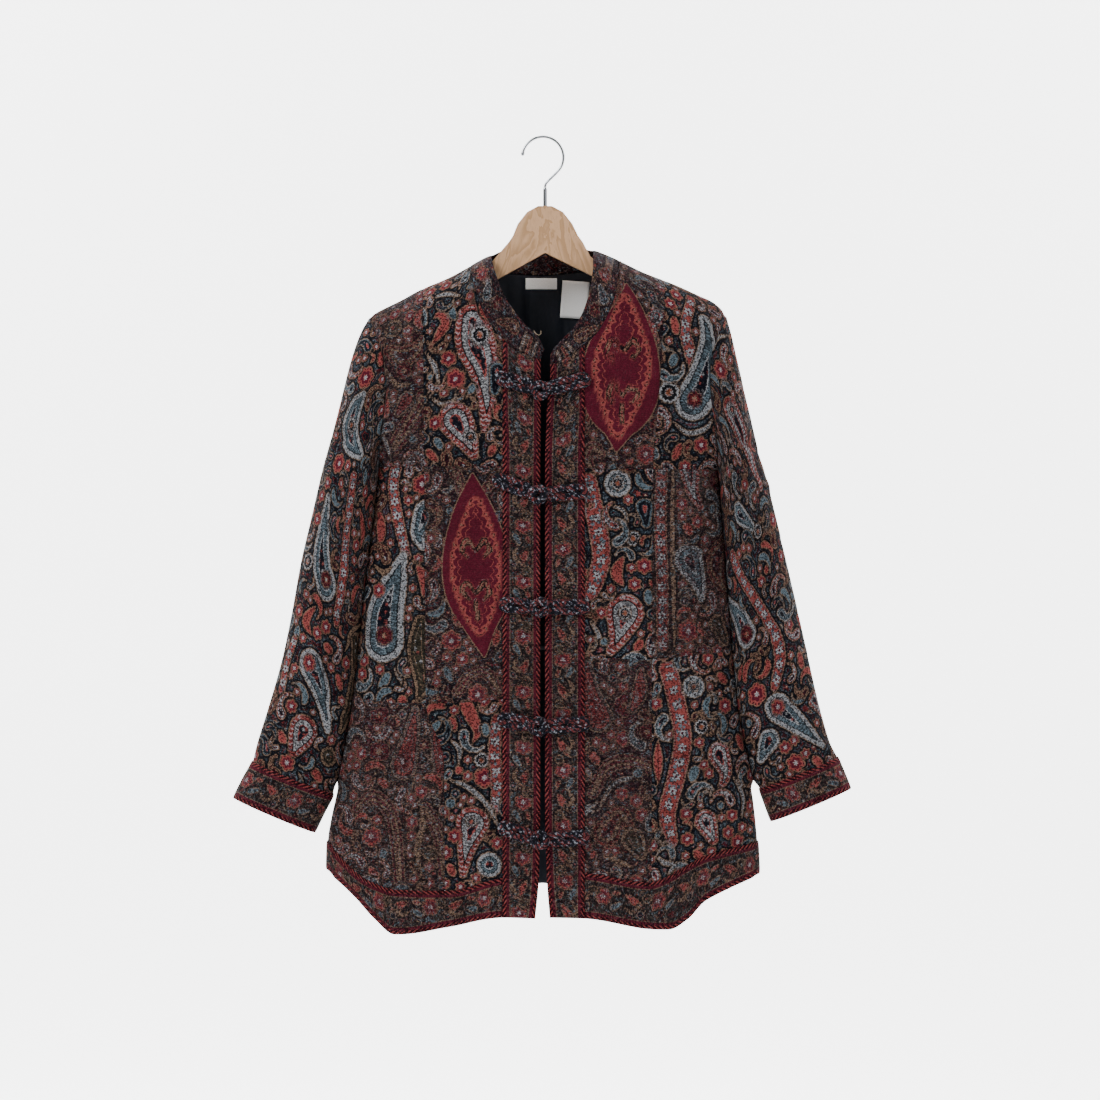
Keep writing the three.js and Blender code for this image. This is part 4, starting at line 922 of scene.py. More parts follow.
    # Weave: ribs across the cloth, uneven yarn and a little wear
    rib = g.wave(g.add(v, g.mul(grain, 2.0)), 2.1)
    wear = g.soft(g.noise(place, 0.017, 2.0, shift=7.0), 0.35, 0.7)
    tone = g.add(-0.26, g.add(g.mul(fine, 1.42), g.mul(rib, 0.06)))
    tone = g.mul(tone, g.add(0.9, g.mul(wear, 0.2)))
    colours = g.blend(1.0, colours, g.vector(tone, tone, tone), "MULTIPLY")
    height = g.sub(g.mul(fine, 0.55), g.mul(outline, 0.3))
    for part, share in ((rib, 0.07), (grain, 0.5), (g.soft(d, 1.0, -1.6), 0.5), (g.peak(flowers, stems), 0.3),
                        (ropes, 0.9)):
        height = g.add(height, g.mul(part, share))
    return g.finish(colours, g.add(0.74, g.mul(fine, 0.2)), g.bump(height), Sheen_Weight=0.0,
                    Specular_IOR_Level=0.04)


# Figures of the weave

# Style: outer band with its flecks, inner band with its dashes, core, bands to a half width, edge lobes,
# and 1 for a row of daisies or 0.5 for a vein
STYLES = {
    "coral": (CORAL, 0.9, PALE, 0.7, NAVY, 3.1, 0.6, 0),
    "brick": (BRICK, 0.7, TAN, 0.5, WINE, 3.3, 1.2, 0),
    "pale": (BLUE, 0.7, NAVY, 0.0, CORAL, 3.0, 0.5, 0),
    "cream": (PALE, 0.5, BLUE, 0.7, NAVY, 3.2, 0.8, 0),
    "dotted": (PALE, 0.0, INK, 0.9, ORANGE, 3.1, 1.6, 0),
    "rosette": (CORAL, 0.2, BURGUNDY, 0.0, PALE, 2.5, 2.4, 0.17),
    "wine": (BURGUNDY, 0.2, BRICK, 0.4, TAN, 2.9, 2.0, 0),
    "column": (CORAL, 0.5, PALE, 0.0, BRICK, 4.6, 0.8, 1),
    "leaf": (CORAL, 0.0, BRICK, 0.0, CORAL, 0.8, 0.4, 0.5),
    "blue": (BLUE, 0.0, NAVY, 0.0, BLUE, 0.8, 0.4, 0.5),
    "line": (PALE, 0.8, INK, 0.0, PALE, 0.9, 0.3, 0),
    "tan": (TAN, 0.0, INK, 0.0, TAN, 0.8, 0.4, 0),
    "dark": (TAN, 0.6, OLIVE, 0.4, OLIVE, 3.4, 0.8, 0),
    "scale": (STONE, 0.4, CORAL, 0.7, BRICK, 4.2, 0, 0),
    "lace": (CORAL, 0.0, BURGUNDY, 0.0, BURGUNDY, 5.4, 4.2, 0.17),
    "diamond": (BURGUNDY, 0.0, WINE, 0.0, BURGUNDY, 0.5, 0, 0.17),
    "curl": (CORAL, 0.0, BURGUNDY, 0.0, CORAL, 0.8, 0.5, 0),
    "arch": (BURGUNDY, 0.6, TAN, 0.5, BURGUNDY, 2.4, 0.8, 0),
}
POINTED = ("leaf", "blue", "tan", "line", "curl")
CLEAR = ("diamond", "lace", "curl")

# Each figure: its style, then u, v and radius at each of its points, in view units
FIGURES = {
    "right_upper_inner": """
        leaf 434 346 3 441 336 4 446 325 4 441 317 3 434 320 2,
        coral 473 322 15 477 345 18 484 372 14 487 404 8 485 430 3, dotted 480 338 8,
        line 426 354 2 435 368 3 440 390 2, rosette 450 359 6, rosette 456 381 8, blue 469 393 3 474 388 4,
        line 428 394 2.6 440 404 3 455 404 3 470 416 3 479 436 3 481 458 3,
        coral 456 423 16 468 440 10 474 456 4, dotted 471 438 5, blue 436 440 4 444 451 3,
        leaf 494 300 3 498 316 4, blue 430 378 3, rosette 436 424 5, leaf 495 445 4 490 458 3,
        pale 498 372 7 496 392 4, line 431 300 2 446 296 3 462 298 2, blue 452 310 4 456 322 3,
        leaf 427 452 4 438 462 3""",
    "right_upper_outer": """
        brick 389 352 4 403 358 9 418 350 6 425 340 3, arch 425 400 7 410 425 8 394 450 6, dark 394 330 8,
        tan 386 375 2 398 386 2.6 412 384 2, leaf 382 404 4 388 418 3, wine 405 372 6, blue 414 440 4,
        line 380 436 2 388 446 2.6 392 458 2, scale 408 400 7 400 414 4""",
    "right_middle_outer": """
        column 397 466 5 394 490 5 399 520 5 408 556 4, rosette 423 485 8, cream 428 514 12 420 534 7 424 548 3,
        cream 404 556 4 396 580 12 386 612 19 384 640 20, wine 386 634 7, line 396 668 3 404 684 2,
        dark 422 622 6 419 650 9 424 682 7 421 694 3, column 438 571 6 436 600 6 441 640 6 446 676 6 449 704 5,
        rosette 380 590 5, blue 391 672 5 380 690 3, leaf 418 566 4 426 580 5 424 596 3, pale 376 476 6,
        leaf 378 505 4 382 530 5 380 548 3, rosette 440 552 6, line 428 604 2.2 436 622 2.2, leaf 404 700 5,
        tan 375 565 2.4 384 572 2.4 392 568 2""",
    "right_middle_inner": """
        diamond 473 476 2 475 516 19 476 556 30 478 588 30 481 622 16 484 655 2,
        lace 476 505 5 476 532 14 476 568 22 479 602 15 481 628 5,
        curl 476 549 1.2 468 541 1.5 463 549 1.5 468 557 1.2 ~954,
        curl 476 591 1.2 468 583 1.5 464 591 1.5 469 599 1.2 ~954, curl 477 602 1.2 478 618 1.4,
        arch 450 468 3 458 478 5 462 492 3, arch 500 470 3 492 482 5 486 492 3, blue 452 512 5, pale 500 515 5,
        rosette 452 640 8, leaf 455 612 4 462 626 3, arch 460 690 5 472 674 5 488 672 5 500 690 4,
        rosette 479 694 8, leaf 498 628 4 494 645 4, blue 446 664 4 452 680 3, pale 500 655 5""",
    "right_lower_inner": """
        leaf 473 741 3 478 728 5 471 712 6 466 697 5 473 685 4 480 690 2, line 452 738 2 460 748 3 460 760 2,
        dotted 482 757 6, rosette 484 776 8, column 497 718 5 494 748 5 498 780 5 496 806 4,
        line 449 778 2.6 462 782 3 476 790 3 490 806 3 503 832 3, coral 473 820 15 468 845 8 464 870 3,
        dotted 472 818 4, cream 490 862 11, blue 452 800 5, leaf 452 716 4 456 728 3, rosette 455 832 5,
        blue 484 722 4 488 734 3, leaf 450 860 4 456 872 3, leaf 460 768 4, pale 456 790 4""",
    "right_lower_outer": """
        scale 416 708 4 413 735 9 405 764 13, scale 437 710 4 440 738 8 446 766 11, wine 381 713 8,
        wine 381 749 9, arch 358 808 5 372 796 6 386 800 6 396 824 6 402 878 5,
        arch 446 872 5 440 832 6 428 806 5, tan 421 798 2 424 822 3 420 846 3 424 872 2, rosette 372 834 8,
        blue 385 852 5, leaf 380 776 4 390 786 3, rosette 424 790 5, dark 432 850 6, leaf 372 864 4 380 876 3,
        pale 404 712 4, wine 426 742 4""",
    "left_upper_inner": """
        diamond 626 286 2 625 322 18 622 360 33 620 394 35 618 426 16 616 452 2,
        lace 624 302 5 623 335 16 622 368 25 619 402 17 617 434 5,
        curl 621 352 1.2 612 343 1.5 606 352 1.5 612 361 1.2 ~1244,
        curl 621 396 1.2 613 388 1.5 608 396 1.5 613 404 1.2 ~1244, curl 621 407 1.2 621 424 1.4,
        coral 656 318 8 650 330 6 655 342 3, arch 590 470 4 586 458 5 594 448 5 602 456 4, rosette 644 456 8,
        blue 594 320 4 600 334 3, wine 656 424 6, leaf 598 296 4 606 304 4, pale 658 386 5 652 398 3,
        leaf 630 462 4, blue 612 468 4""",
    "left_upper_outer": """
        column 690 300 4 684 326 5 688 352 5 694 372 4, cream 704 322 6 708 352 10 702 384 16 692 404 17,
        wine 694 400 6, line 672 424 3 686 434 3 704 430 3 712 420 2, dotted 668 393 9,
        leaf 672 318 4 676 336 4, rosette 700 446 6, blue 674 356 5 670 370 3, leaf 680 446 4 672 460 4,
        rosette 676 296 5""",
    "left_middle_inner": """
        cream 617 484 12, dotted 617 484 5, column 588 482 8 596 520 8 601 556 8 594 586 7 588 598 4,
        pale 644 508 8 646 524 4, dotted 632 538 6, rosette 644 566 6, coral 625 612 17 618 634 9 610 650 4,
        dotted 625 612 5, line 590 620 2.6 597 636 2.6 592 650 2, leaf 622 556 4 616 572 5 622 586 3,
        blue 646 590 4 648 604 4, leaf 590 505 2, rosette 600 612 4, leaf 642 640 5 634 650 3, blue 604 640 4,
        line 610 506 2.2 622 512 2.2 628 524 2""",
    "left_middle_outer": """
        column 661 462 5 660 520 5 661 580 5 662 645 5, tan 672 462 2.2 671 520 2.2 672 580 2.2 673 645 2.2,
        coral 688 470 10 692 492 6 700 508 3, cream 688 560 14 698 584 7 700 600 3, wine 716 480 8,
        brick 724 540 6 716 560 10 720 584 6 730 596 3, rosette 688 630 9, dark 716 624 8 724 640 5,
        leaf 684 524 4 690 534 4, arch 704 446 4 716 456 5 728 452 3, blue 712 510 5, tan 700 604 2 712 612 2.4,
        leaf 730 506 4 735 520 3, pale 684 600 4, wine 702 652 6""",
    "left_lower_inner": """
        scale 587 662 4 590 690 9 598 716 13, wine 624 703 9, scale 640 668 3 638 690 7 632 706 4,
        arch 592 790 5 606 766 6 628 758 6 648 764 6, line 598 806 2.4 612 782 2.6 634 776 2.6 650 782 2,
        brick 606 830 12 618 812 8 628 822 4, blue 636 770 5, dark 632 836 10 640 850 5,
        leaf 590 750 4 598 762 4, rosette 622 738 6, wine 646 730 6, tan 604 852 2 618 858 2.6 632 864 2,
        leaf 594 852 4, rosette 642 812 5, pale 612 676 4""",
    "left_lower_outer": """
        column 667 668 8 676 704 8 681 740 8 674 780 8 666 812 8 670 838 5, cream 692 686 10, dotted 692 686 4,
        coral 718 752 11 724 772 6 720 786 3, coral 704 818 10 712 836 5, line 654 852 3 664 860 3 678 858 2,
        dotted 700 726 6, rosette 724 706 6, leaf 736 734 4 742 748 4, blue 694 764 5 690 780 4,
        line 732 776 2.4 742 796 2.6 740 816 2, rosette 736 840 6, leaf 692 848 4 702 856 4, blue 720 804 4,
        leaf 656 740 3 658 760 4 656 780 3, leaf 716 672 4 726 682 4, rosette 722 864 5""",
}
SLEEVE_FIGURES = {
    "right": """
        leaf 384 352 4 382 368 4, rosette 366 378 9, cream 364 398 5 354 414 13 352 436 15 362 456 5,
        dotted 353 426 6, rosette 341 464 8, column 355 478 6 350 520 6 346 560 6 343 596 6 338 622 4,
        leaf 334 652 4 326 644 4, cream 330 498 4 326 530 9 324 560 13 328 584 14, wine 328 580 6,
        dotted 309 561 7, leaf 362 510 3 364 530 4 361 548 3, cream 312 664 14 322 690 10 329 728 3,
        rosette 310 662 6, coral 305 730 14 296 748 6, leaf 280 730 4 286 742 4,
        dark 356 640 8 360 672 11 350 708 8 342 730 3, leaf 340 396 4 334 412 4 336 426 3,
        blue 368 470 4 366 486 4, rosette 366 584 6, blue 362 604 4 368 618 4,
        leaf 316 606 4 308 620 5 312 634 3, rosette 328 626 5, leaf 338 672 4 342 690 4,
        line 330 440 2.4 326 460 2.6 322 480 2.4, tan 346 650 2.4 352 632 2.4 362 624 2, rosette 318 520 5,
        blue 296 640 4 300 626 4, dark 330 756 8, column 282 690 4 288 662 4 296 640 4, rosette 288 762 6,
        leaf 314 768 4 322 780 4""",
    "left": """
        coral 731 412 14 742 440 11 752 466 7 760 488 3, dotted 731 410 5, cream 738 514 11 750 526 5,
        dotted 757 531 6, column 732 556 6 742 580 6 756 604 6 772 630 6 778 656 6 773 686 4,
        cream 728 600 4 738 618 10 745 634 13, wine 745 634 7, rosette 756 693 9,
        cream 776 706 13 796 722 9 822 744 3, rosette 776 706 6, leaf 812 756 4 820 764 4, rosette 720 372 8,
        leaf 744 380 4 750 396 4, blue 716 440 4 722 458 4, leaf 768 476 4 774 494 4, rosette 772 520 6,
        leaf 722 486 4 716 500 4, blue 786 560 5 790 576 4, leaf 764 570 4, rosette 800 620 7, blue 792 596 4,
        leaf 796 652 4 802 668 4, cream 768 740 10 760 756 5, rosette 794 762 7, leaf 742 664 4 738 680 4,
        line 722 520 2.4 716 540 2.6 722 560 2.4, coral 814 700 8 822 714 5, rosette 728 706 6, blue 748 722 4,
        line 706 350 2.4 714 338 2.6 728 336 2.4, leaf 780 780 4 792 786 4, rosette 712 414 5""",
}
BACK_FIGURES = """
    coral 470 300 16 478 330 19 486 360 12 484 392 5 ~1085,
    diamond 542 330 4 542 372 22 542 410 34 542 446 34 542 480 18 542 512 4,
    lace 542 345 4 542 380 15 542 426 24 542 466 14 542 496 4, cream 542 412 9, rosette 542 440 9,
    cream 420 320 8 412 356 16 404 384 18, wine 406 380 7, cream 664 320 8 672 356 16 680 384 18,
    wine 678 380 7, column 446 440 7 438 480 7 446 520 7 440 560 6 ~1086,
    coral 396 470 16 406 494 10 414 512 4 ~1086, dotted 492 452 9 ~1086, rosette 490 540 9 ~1086,
    cream 384 560 6 390 596 16 398 626 20, wine 396 622 8, cream 702 560 6 696 596 16 688 626 20,
    wine 690 622 8, coral 542 560 17 536 590 20 546 622 13 552 650 5, dotted 540 580 9,
    column 470 600 7 462 640 7 470 690 7 464 730 6 ~1086, arch 420 660 5 404 690 7 396 730 6 ~1086,
    diamond 542 680 4 542 712 18 542 746 28 542 776 28 542 806 14 542 828 4,
    lace 542 692 4 542 724 12 542 760 19 542 794 10 542 816 4, rosette 542 758 9,
    coral 420 770 15 430 796 9 438 816 4 ~1084, scale 372 700 4 376 730 10 384 758 14 ~1084,
    cream 494 780 13 488 800 7 ~1086, rosette 464 768 8 ~1084, rosette 430 420 7 ~1086,
    leaf 510 300 4 516 316 5 ~1084, blue 500 500 5 508 516 5 ~1084, leaf 500 660 5 508 680 5 ~1084,
    line 400 530 3 420 540 3 436 580 3, line 686 530 3 666 540 3 648 580 3, rosette 366 640 8 ~1086,
    rosette 380 420 7 ~1086, leaf 450 360 4 444 380 5 ~1084, dark 352 790 10 ~1084, rosette 400 812 8 ~1086,
    blue 508 620 5, blue 578 622 5, coral 500 400 6 ~1084, line 480 240 3 500 232 3 522 230 3,
    rosette 542 250 9, leaf 500 262 5 516 270 4 ~1084, blue 470 262 5 ~1086"""

# Tone of each ground, strength of its small flowers, and how far loose yarns veil its figures
GROUNDS = {
    "navy": (NAVY, 0.32, 0.06), "sleeve": (colour("11131e"), 0.36, 0.1),
    "burgundy": (colour("331a22"), 0.4, 0.62), "olive": (colour("332724"), 0.4, 0.66),
    "mottle": (colour("351e26"), 0.4, 0.66),
    "border": (colour("34332f"), 0.25, 0.62), "collar": (colour("39262f"), 0.4, 0.62),
}
# Blots of other tones on the ground: tone, u, v and radius in view units
BLOTS = {
    "right_upper_outer": [(OLIVE, 394, 330, 22), (BURGUNDY, 408, 358, 20), (BURGUNDY, 410, 425, 16)],
    "right_middle_outer": [(OLIVE, 422, 655, 26), (BURGUNDY, 378, 520, 18), (STONE, 400, 590, 14)],
    "right_lower_outer": [(BURGUNDY, 380, 730, 24), (OLIVE, 424, 830, 26), (STONE, 404, 760, 20)],
    "left_upper_inner": [(BURGUNDY, 620, 380, 40), (NAVY, 655, 330, 20)],
    "left_middle_outer": [(BURGUNDY, 716, 560, 26), (STONE, 690, 480, 20), (NAVY, 730, 640, 20)],
    "left_lower_inner": [(BURGUNDY, 622, 720, 26), (OLIVE, 600, 700, 22), (OLIVE, 634, 836, 22)],
    "right_middle_inner": [(BURGUNDY, 478, 570, 36), (NAVY, 452, 690, 24)],
}


def smooth_line(points, steps=7):
    """A curve through the points, with its radius carried along."""
    if len(points) == 1:
        return points
    ends = np.concatenate([[2 * points[0] - points[1]], points, [2 * points[-1] - points[-2]]])
    out = []
    for i in range(1, len(ends) - 2):
        a, b, c, d = ends[i - 1:i + 3]
        for s in np.arange(steps) / steps:
            out.append(0.5 * (2 * b + (c - a) * s + (2 * a - 5 * b + 4 * c - d) * s * s
                              + (3 * b - a - 3 * c + d) * s ** 3))
    return np.array(out + [points[-1]])


def with_mirrors(text):
    """The figures of a text; one that ends in ~ and a number is followed by its mirror image.

    The number is the sum of u of a point and of its image.
    """
    figures = []
    for entry in text.split(","):
        figure, _, total = entry.partition("~")
        figures.append(figure)
        if total:
            style, *numbers = figure.split()
            numbers[0::3] = [str(float(total) - float(u)) for u in numbers[0::3]]
            figures.append(" ".join([style, *numbers]))
    return figures


def on_cloth(figure, panel, mask):
    """A figure's line in cloth coordinates: each point goes to the nearest place of the panel."""
    style, *numbers = figure.split()
    values = np.array(numbers, float).reshape(-1, 3)
    x, z = seen(values[:, 0], values[:, 1])
    px, pz = panel.grid[..., 0][mask], panel.grid[..., 2][mask]
    pu, pv = panel.u[mask], panel.v[mask]
    near = [int(np.argmin((px - a) ** 2 + (pz - b) ** 2)) for a, b in zip(x, z)]
    swell = 1.0 if style in POINTED else 1.1
    points = np.stack([pu[near], pv[near], values[:, 2] * UNIT * swell], axis=1)
    return style, tapered(style, smooth_line(points))


def tapered(style, points):
    """Leaves and thin lines run out to a point at both ends."""
    if style not in POINTED or len(points) == 1:
        return points
    share = np.linspace(0, 1, len(points))
    swell = 1.15 if style in ("leaf", "blue") else 0.85
    points[:, 2] = np.maximum(0.5, points[:, 2] * swell * np.sin(np.pi * share) ** 0.6)
    return points


def line_field(points, u, v):
    """Distance to the edge of a thick line, the way along it and the distance from its middle."""
    best = np.full(u.shape, 1e6)
    along = np.zeros_like(u)
    middle = np.zeros_like(u)
    if len(points) == 1:
        cu, cv, radius = points[0]
        away = np.hypot(u - cu, v - cv)
        return away - radius, np.arctan2(v - cv, u - cu) * radius, away
    done = 0.0
    for (au, av, ar), (bu, bv, br) in zip(points[:-1], points[1:]):
        length = max(math.hypot(bu - au, bv - av), 1e-6)
        du, dv = (bu - au) / length, (bv - av) / length
        forward = (u - au) * du + (v - av) * dv
        t = np.clip(forward / length, 0, 1)
        away = np.hypot(u - au - du * t * length, v - av - dv * t * length)
        radius = ar + (br - ar) * t
        past = forward - t * length
        edge = away - radius
        closer = edge < best
        turn = np.arctan2(past, np.maximum(away, 1e-6)) * radius
        best = np.where(closer, edge, best)
        along = np.where(closer, done + t * length + turn, along)
        middle = np.where(closer, away, middle)
        done += length
    return best, along, middle


SMALL = ["coral", "cream", "leaf", "pale", "coral", "blue", "brick", "rosette"]
ROOM, FAR = 1.8, 60.0


def small_figures(u, v, motif, draw, seed):
    """Small curled leaves and rosettes in the room left between the figures, the larger ones first."""
    chance = np.random.default_rng(seed)
    order = chance.permutation(len(u))
    for radius, tries in ((7.5, 1500), (5.2, 3000), (3.6, 4000)):
        for index in order[:tries]:
            if motif[index, 0] < radius + ROOM:
                continue
            style = SMALL[int(chance.integers(len(SMALL)))]
            steps = 0 if style == "rosette" else 5
            for _ in range(3):
                heading, bend = chance.uniform(0, 2 * math.pi), chance.choice([-0.55, 0.55])
                points = [[u[index], v[index], radius * 0.8]]
                for share in (0.66, 0.5, 0.36, 0.24, 0.12)[:steps]:
                    last = points[-1]
                    points.append([last[0] + radius * math.cos(heading),
                                   last[1] + radius * math.sin(heading), radius * share])
                    heading += bend
                ends = [int(np.argmin((u - a) ** 2 + (v - b) ** 2)) for a, b, _ in points[1:]]
                if all(motif[end, 0] > ROOM for end in ends):
                    draw(style, tapered(style, smooth_line(np.array(points), 4)))
                    break
            else:
                if chance.uniform() < 0.12:
                    draw("rosette", np.array(points[:1]) * (1, 1, 0.75))
        order = np.roll(order, -4500)


def weave_fields(panel, ground, figures=(), blots=(), edge=None, seed=None):
    """Point fields of a piece of cloth: its ground, and the figure nearest to each point."""
    u, v = panel.u.ravel(), panel.v.ravel()
    count = len(u)
    tone, fill, veiled = GROUNDS[ground]
    veil = np.full(count, veiled)
    colours = np.tile(np.array([*tone, fill]), (count, 1))
    for blot, bu, bv, radius in blots:
        amount = 0.85 * np.exp(-(((u - bu) ** 2 + (v - bv) ** 2) / radius ** 2))[:, None]
        colours[:, :3] = mix(colours[:, :3], np.array(blot), amount)
    motif = np.zeros((count, 3))
    motif[:, 0] = FAR
    look = np.tile([5.0, 0.0, 6.0], (count, 1))
    band, inner, core = (np.zeros((count, 4)) for _ in range(3))
    whole = np.zeros(count, bool)

    def draw(style, points):
        reach = points[:, 2].max() + 26
        near = ((u > points[:, 0].min() - reach) & (u < points[:, 0].max() + reach)
                & (v > points[:, 1].min() - reach) & (v < points[:, 1].max() + reach))
        if not near.any():
            return
        band_tone, fleck, inner_tone, dash, core_tone, share, lobe, mark = STYLES[style]
        away, along, middle = line_field(points, u[near], v[near])
        taken = (away < 2.4) | (away < motif[near, 0])
        taken &= ~whole[near] | (style in CLEAR)
        index = np.flatnonzero(near)[taken]
        widest = points[:, 2].max()
        motif[index] = np.stack([away, along, middle], axis=1)[taken]
        period = 12.0 if style == "lace" else 7.5
        if len(points) == 1:
            period = 2 * math.pi * widest / (6 if style in ("rosette", "wine") else 11)
        look[index] = (widest / share, lobe, period)
        band[index] = (*band_tone, fleck)
        inner[index] = (*inner_tone, dash)
        core[index] = (*core_tone, mark)
        if style in CLEAR:
            veil[index[away[taken] < 1.0]] = 0.1
            whole[index[away[taken] < 1.6]] = True

    for style, points in figures:
        draw(style, points)
    if seed is not None:
        small_figures(u, v, motif, draw, seed)
    motif[:, 0] = np.minimum(motif[:, 0], 30)
    edges = np.tile([FAR, FAR, 0.0], (count, 1)) if edge is None else edge.reshape(-1, 3)
    return dict(ground=colours, motif=motif, look=look, band=band, inner=inner, core=core, edge=edges,
                veil=veil)


def level_coordinates(panel, row):
    """Nearly undistorted cloth coordinates of a body panel: across from the centre, down from the top."""
    grid = panel.grid
    across = np.hypot(np.diff(grid[..., 0], axis=1), np.diff(grid[..., 1], axis=1))
    u = np.concatenate([np.zeros((len(grid), 1)), np.cumsum(across, axis=1)], axis=1)
    middle = int(np.argmin(np.abs(grid[row, :, 0])))
    u = u - u[:, middle:middle + 1] + np.abs(grid[:, middle:middle + 1, 0])
    down = np.hypot(np.diff(grid[..., 2], axis=0), np.diff(grid[..., 1], axis=0))
    v = np.concatenate([np.zeros((1, grid.shape[1])), np.cumsum(down, axis=0)], axis=0)
    v = v - v[row:row + 1] - grid[row:row + 1, :, 2]
    panel.u, panel.v = u, v


def sleeve_coordinates(panel):
    """Cloth coordinates of a sleeve: round from the middle of its front, and up from the cuff."""
    front = int(np.argmin(panel.grid[len(panel.grid) // 2, :, 1]))
    panel.u = panel.u - panel.u[:, front:front + 1]
    panel.v = panel.v - panel.v[-1:]


# Other materials

def plain_cloth(name, tone, scale=0.9, relief=0.5):
    """Plain woven cloth with uneven yarn."""
    g = Graph(name)
    place = g.attribute("cloth").outputs["Vector"]
    u, v, _ = g.parts(place)
    yarn = g.noise(place, scale, 3.0)
    weave = g.mul(g.wave(u, 1.3), g.wave(v, 1.3))
    dark, light = tuple(0.72 * c for c in tone), tuple(min(1, 1.12 * c) for c in tone)
    tint = g.blend(g.soft(yarn, 0.3, 0.7), dark, light)
    height = g.add(g.mul(yarn, relief), g.mul(weave, 0.12))
    return g.finish(tint, g.add(0.72, g.mul(yarn, 0.16)), g.bump(height), Sheen_Weight=0.1)


def satin(name, tone):
    """Smooth lining with long soft puckers, its tone lighter on their crests and darker in their troughs:
    painted light and shade.
    """
    g = Graph(name)
    place = g.attribute("cloth").outputs["Vector"]
    u, v, _ = g.parts(place)
    broad = g.noise(g.vector(g.mul(u, 2.2), g.mul(v, 0.35)), 0.03, 2.0)
    fine = g.noise(place, 1.6, 1.0)
    # Painted light and shade: the tone follows the puckers' height, lighter on the crests and darker in the
    # troughs.
    tint = g.blend(broad, tuple(0.8 * c for c in tone), tuple(1.25 * c for c in tone))
    height = g.add(g.mul(broad, 2.0), g.mul(fine, 0.06))
    return g.finish(tint, g.add(0.46, g.mul(fine, 0.1)), g.bump(height), Sheen_Weight=0.02,
                    Specular_IOR_Level=0.2)


def cord_cloth(name):
    """Mottled cloth wound round a cord: slanting folds in navy, grey and brick, with painted shade in the
    grooves between the folds.
    """
    g = Graph(name)
    along, turn, _ = g.parts(g.attribute("cord").outputs["Vector"])
    around = g.mul(turn, 4.6)
    place = g.object_place()
    noise = g.noise(place, 0.34, 2.0)
    fine = g.noise(place, 1.2, 2.0, shift=2.0)
    twist = g.wave(g.add(along, g.add(around, g.mul(noise, 3.0))), 7.2)
    patch = g.noise(place, 0.16, 1.0, shift=9.0)
    # The last layer is painted shade: near-black in the grooves between the folds, where the bump is lowest.
    tint = g.paint(INK, (g.above(noise, 0.5), colour("201e29")),
                   (g.both(g.above(patch, 0.5), g.above(fine, 0.47)), colour("5e2a29")),
                   (g.above(g.add(noise, g.mul(fine, 0.5)), 0.865), colour("74777e")),
                   (g.mul(g.below(twist, -0.5), 0.9), INK))
    height = g.add(g.mul(twist, 0.4), g.add(g.mul(fine, 0.4), g.mul(noise, 0.4)))
    return g.finish(tint, g.add(0.7, g.mul(fine, 0.2)), g.bump(height), Sheen_Weight=0.02,
                    Specular_IOR_Level=0.08)


def beech():
    """Pale lacquered beech: arching grain with short dark rays."""
    g = Graph("beech_wood")
    x, y, z = g.parts(g.object_place())
    arch = g.add(g.mul(z, 0.16), g.mul(g.mul(x, x), 0.004))
    rings = g.noise(g.vector(g.mul(x, 0.3), y, arch), 0.16, 3.0, 0.5)
    bands = g.do("FRACT", g.mul(rings, 6.0))
    rays = g.noise(g.vector(g.mul(x, 1.6), y, g.mul(z, 0.18)), 0.8, 2.0)
    tint = g.blend(g.soft(bands, 0.1, 0.9), colour("b8906b"), colour("9f7953"))
    tint = g.blend(g.mul(g.above(rays, 0.63), 0.5), tint, colour("8a6b50"))
    return g.finish(tint, g.add(0.34, g.mul(rays, 0.14)), g.bump(g.mul(rays, 0.12)), Coat_Weight=0.35,
                    Coat_Roughness=0.2)


def chrome():
    g = Graph("chrome_wire")
    fine = g.noise(g.object_place(), 0.9, 2.0)
    return g.finish(g.blend(fine, colour("77797c"), colour("9a9ca0")), g.add(0.12, g.mul(fine, 0.12)),
                    g.bump(g.mul(fine, 0.03)), Metallic=1.0)


TAPESTRY = tapestry("figured_tapestry")
BORDER = tapestry("border_tapestry")
SATIN = satin("lining_satin", colour("0d1019"))
WHITE_CLOTH = plain_cloth("label_cloth", colour("f4f4f1"), scale=1.6, relief=0.2)
FROG = cord_cloth("frog_cloth")
THREAD = plain_cloth("thread", colour("6f604c"), scale=1.2)
WOOD, CHROME = beech(), chrome()

# Creases: half width and height in millimetres, then a line in view units
RIGHT_FRONT_CREASES = [
    (8, -3.6, 384, 452, 378, 540, 366, 640, 352, 740), (7, -2.6, 372, 330, 384, 372, 390, 420),
    (9, 2.0, 380, 440, 392, 500, 396, 560), (12, -2.4, 398, 470, 392, 560, 384, 640),
    (10, 1.8, 500, 300, 494, 360, 490, 440), (13, -2.2, 470, 560, 462, 660, 452, 770),
    (11, 2.0, 432, 640, 424, 720, 414, 800), (9, -1.6, 392, 690, 380, 750, 366, 810),
    (12, 1.8, 486, 690, 482, 770, 478, 850), (8, -1.4, 444, 400, 452, 450, 456, 500),
    (7, 1.3, 400, 300, 430, 320, 452, 356), (6, -1.2, 376, 452, 402, 470, 430, 478),
]
LEFT_FRONT_CREASES = [
    (8, -3.6, 708, 452, 712, 540, 722, 640, 734, 740), (7, -2.6, 718, 330, 708, 376, 702, 424),
    (9, 2.0, 706, 440, 700, 500, 698, 566), (12, -2.4, 700, 480, 706, 570, 714, 650),
    (11, 1.8, 590, 330, 596, 390, 600, 440), (13, -2.2, 616, 560, 624, 660, 634, 780),
    (11, 2.0, 660, 620, 668, 710, 680, 800), (9, -1.6, 700, 690, 712, 740, 728, 800),
    (12, 1.7, 600, 700, 604, 780, 606, 850), (8, -1.4, 650, 400, 644, 440, 640, 500),
    (7, 1.2, 700, 300, 672, 322, 650, 360), (6, -1.2, 716, 452, 690, 470, 662, 476),
]
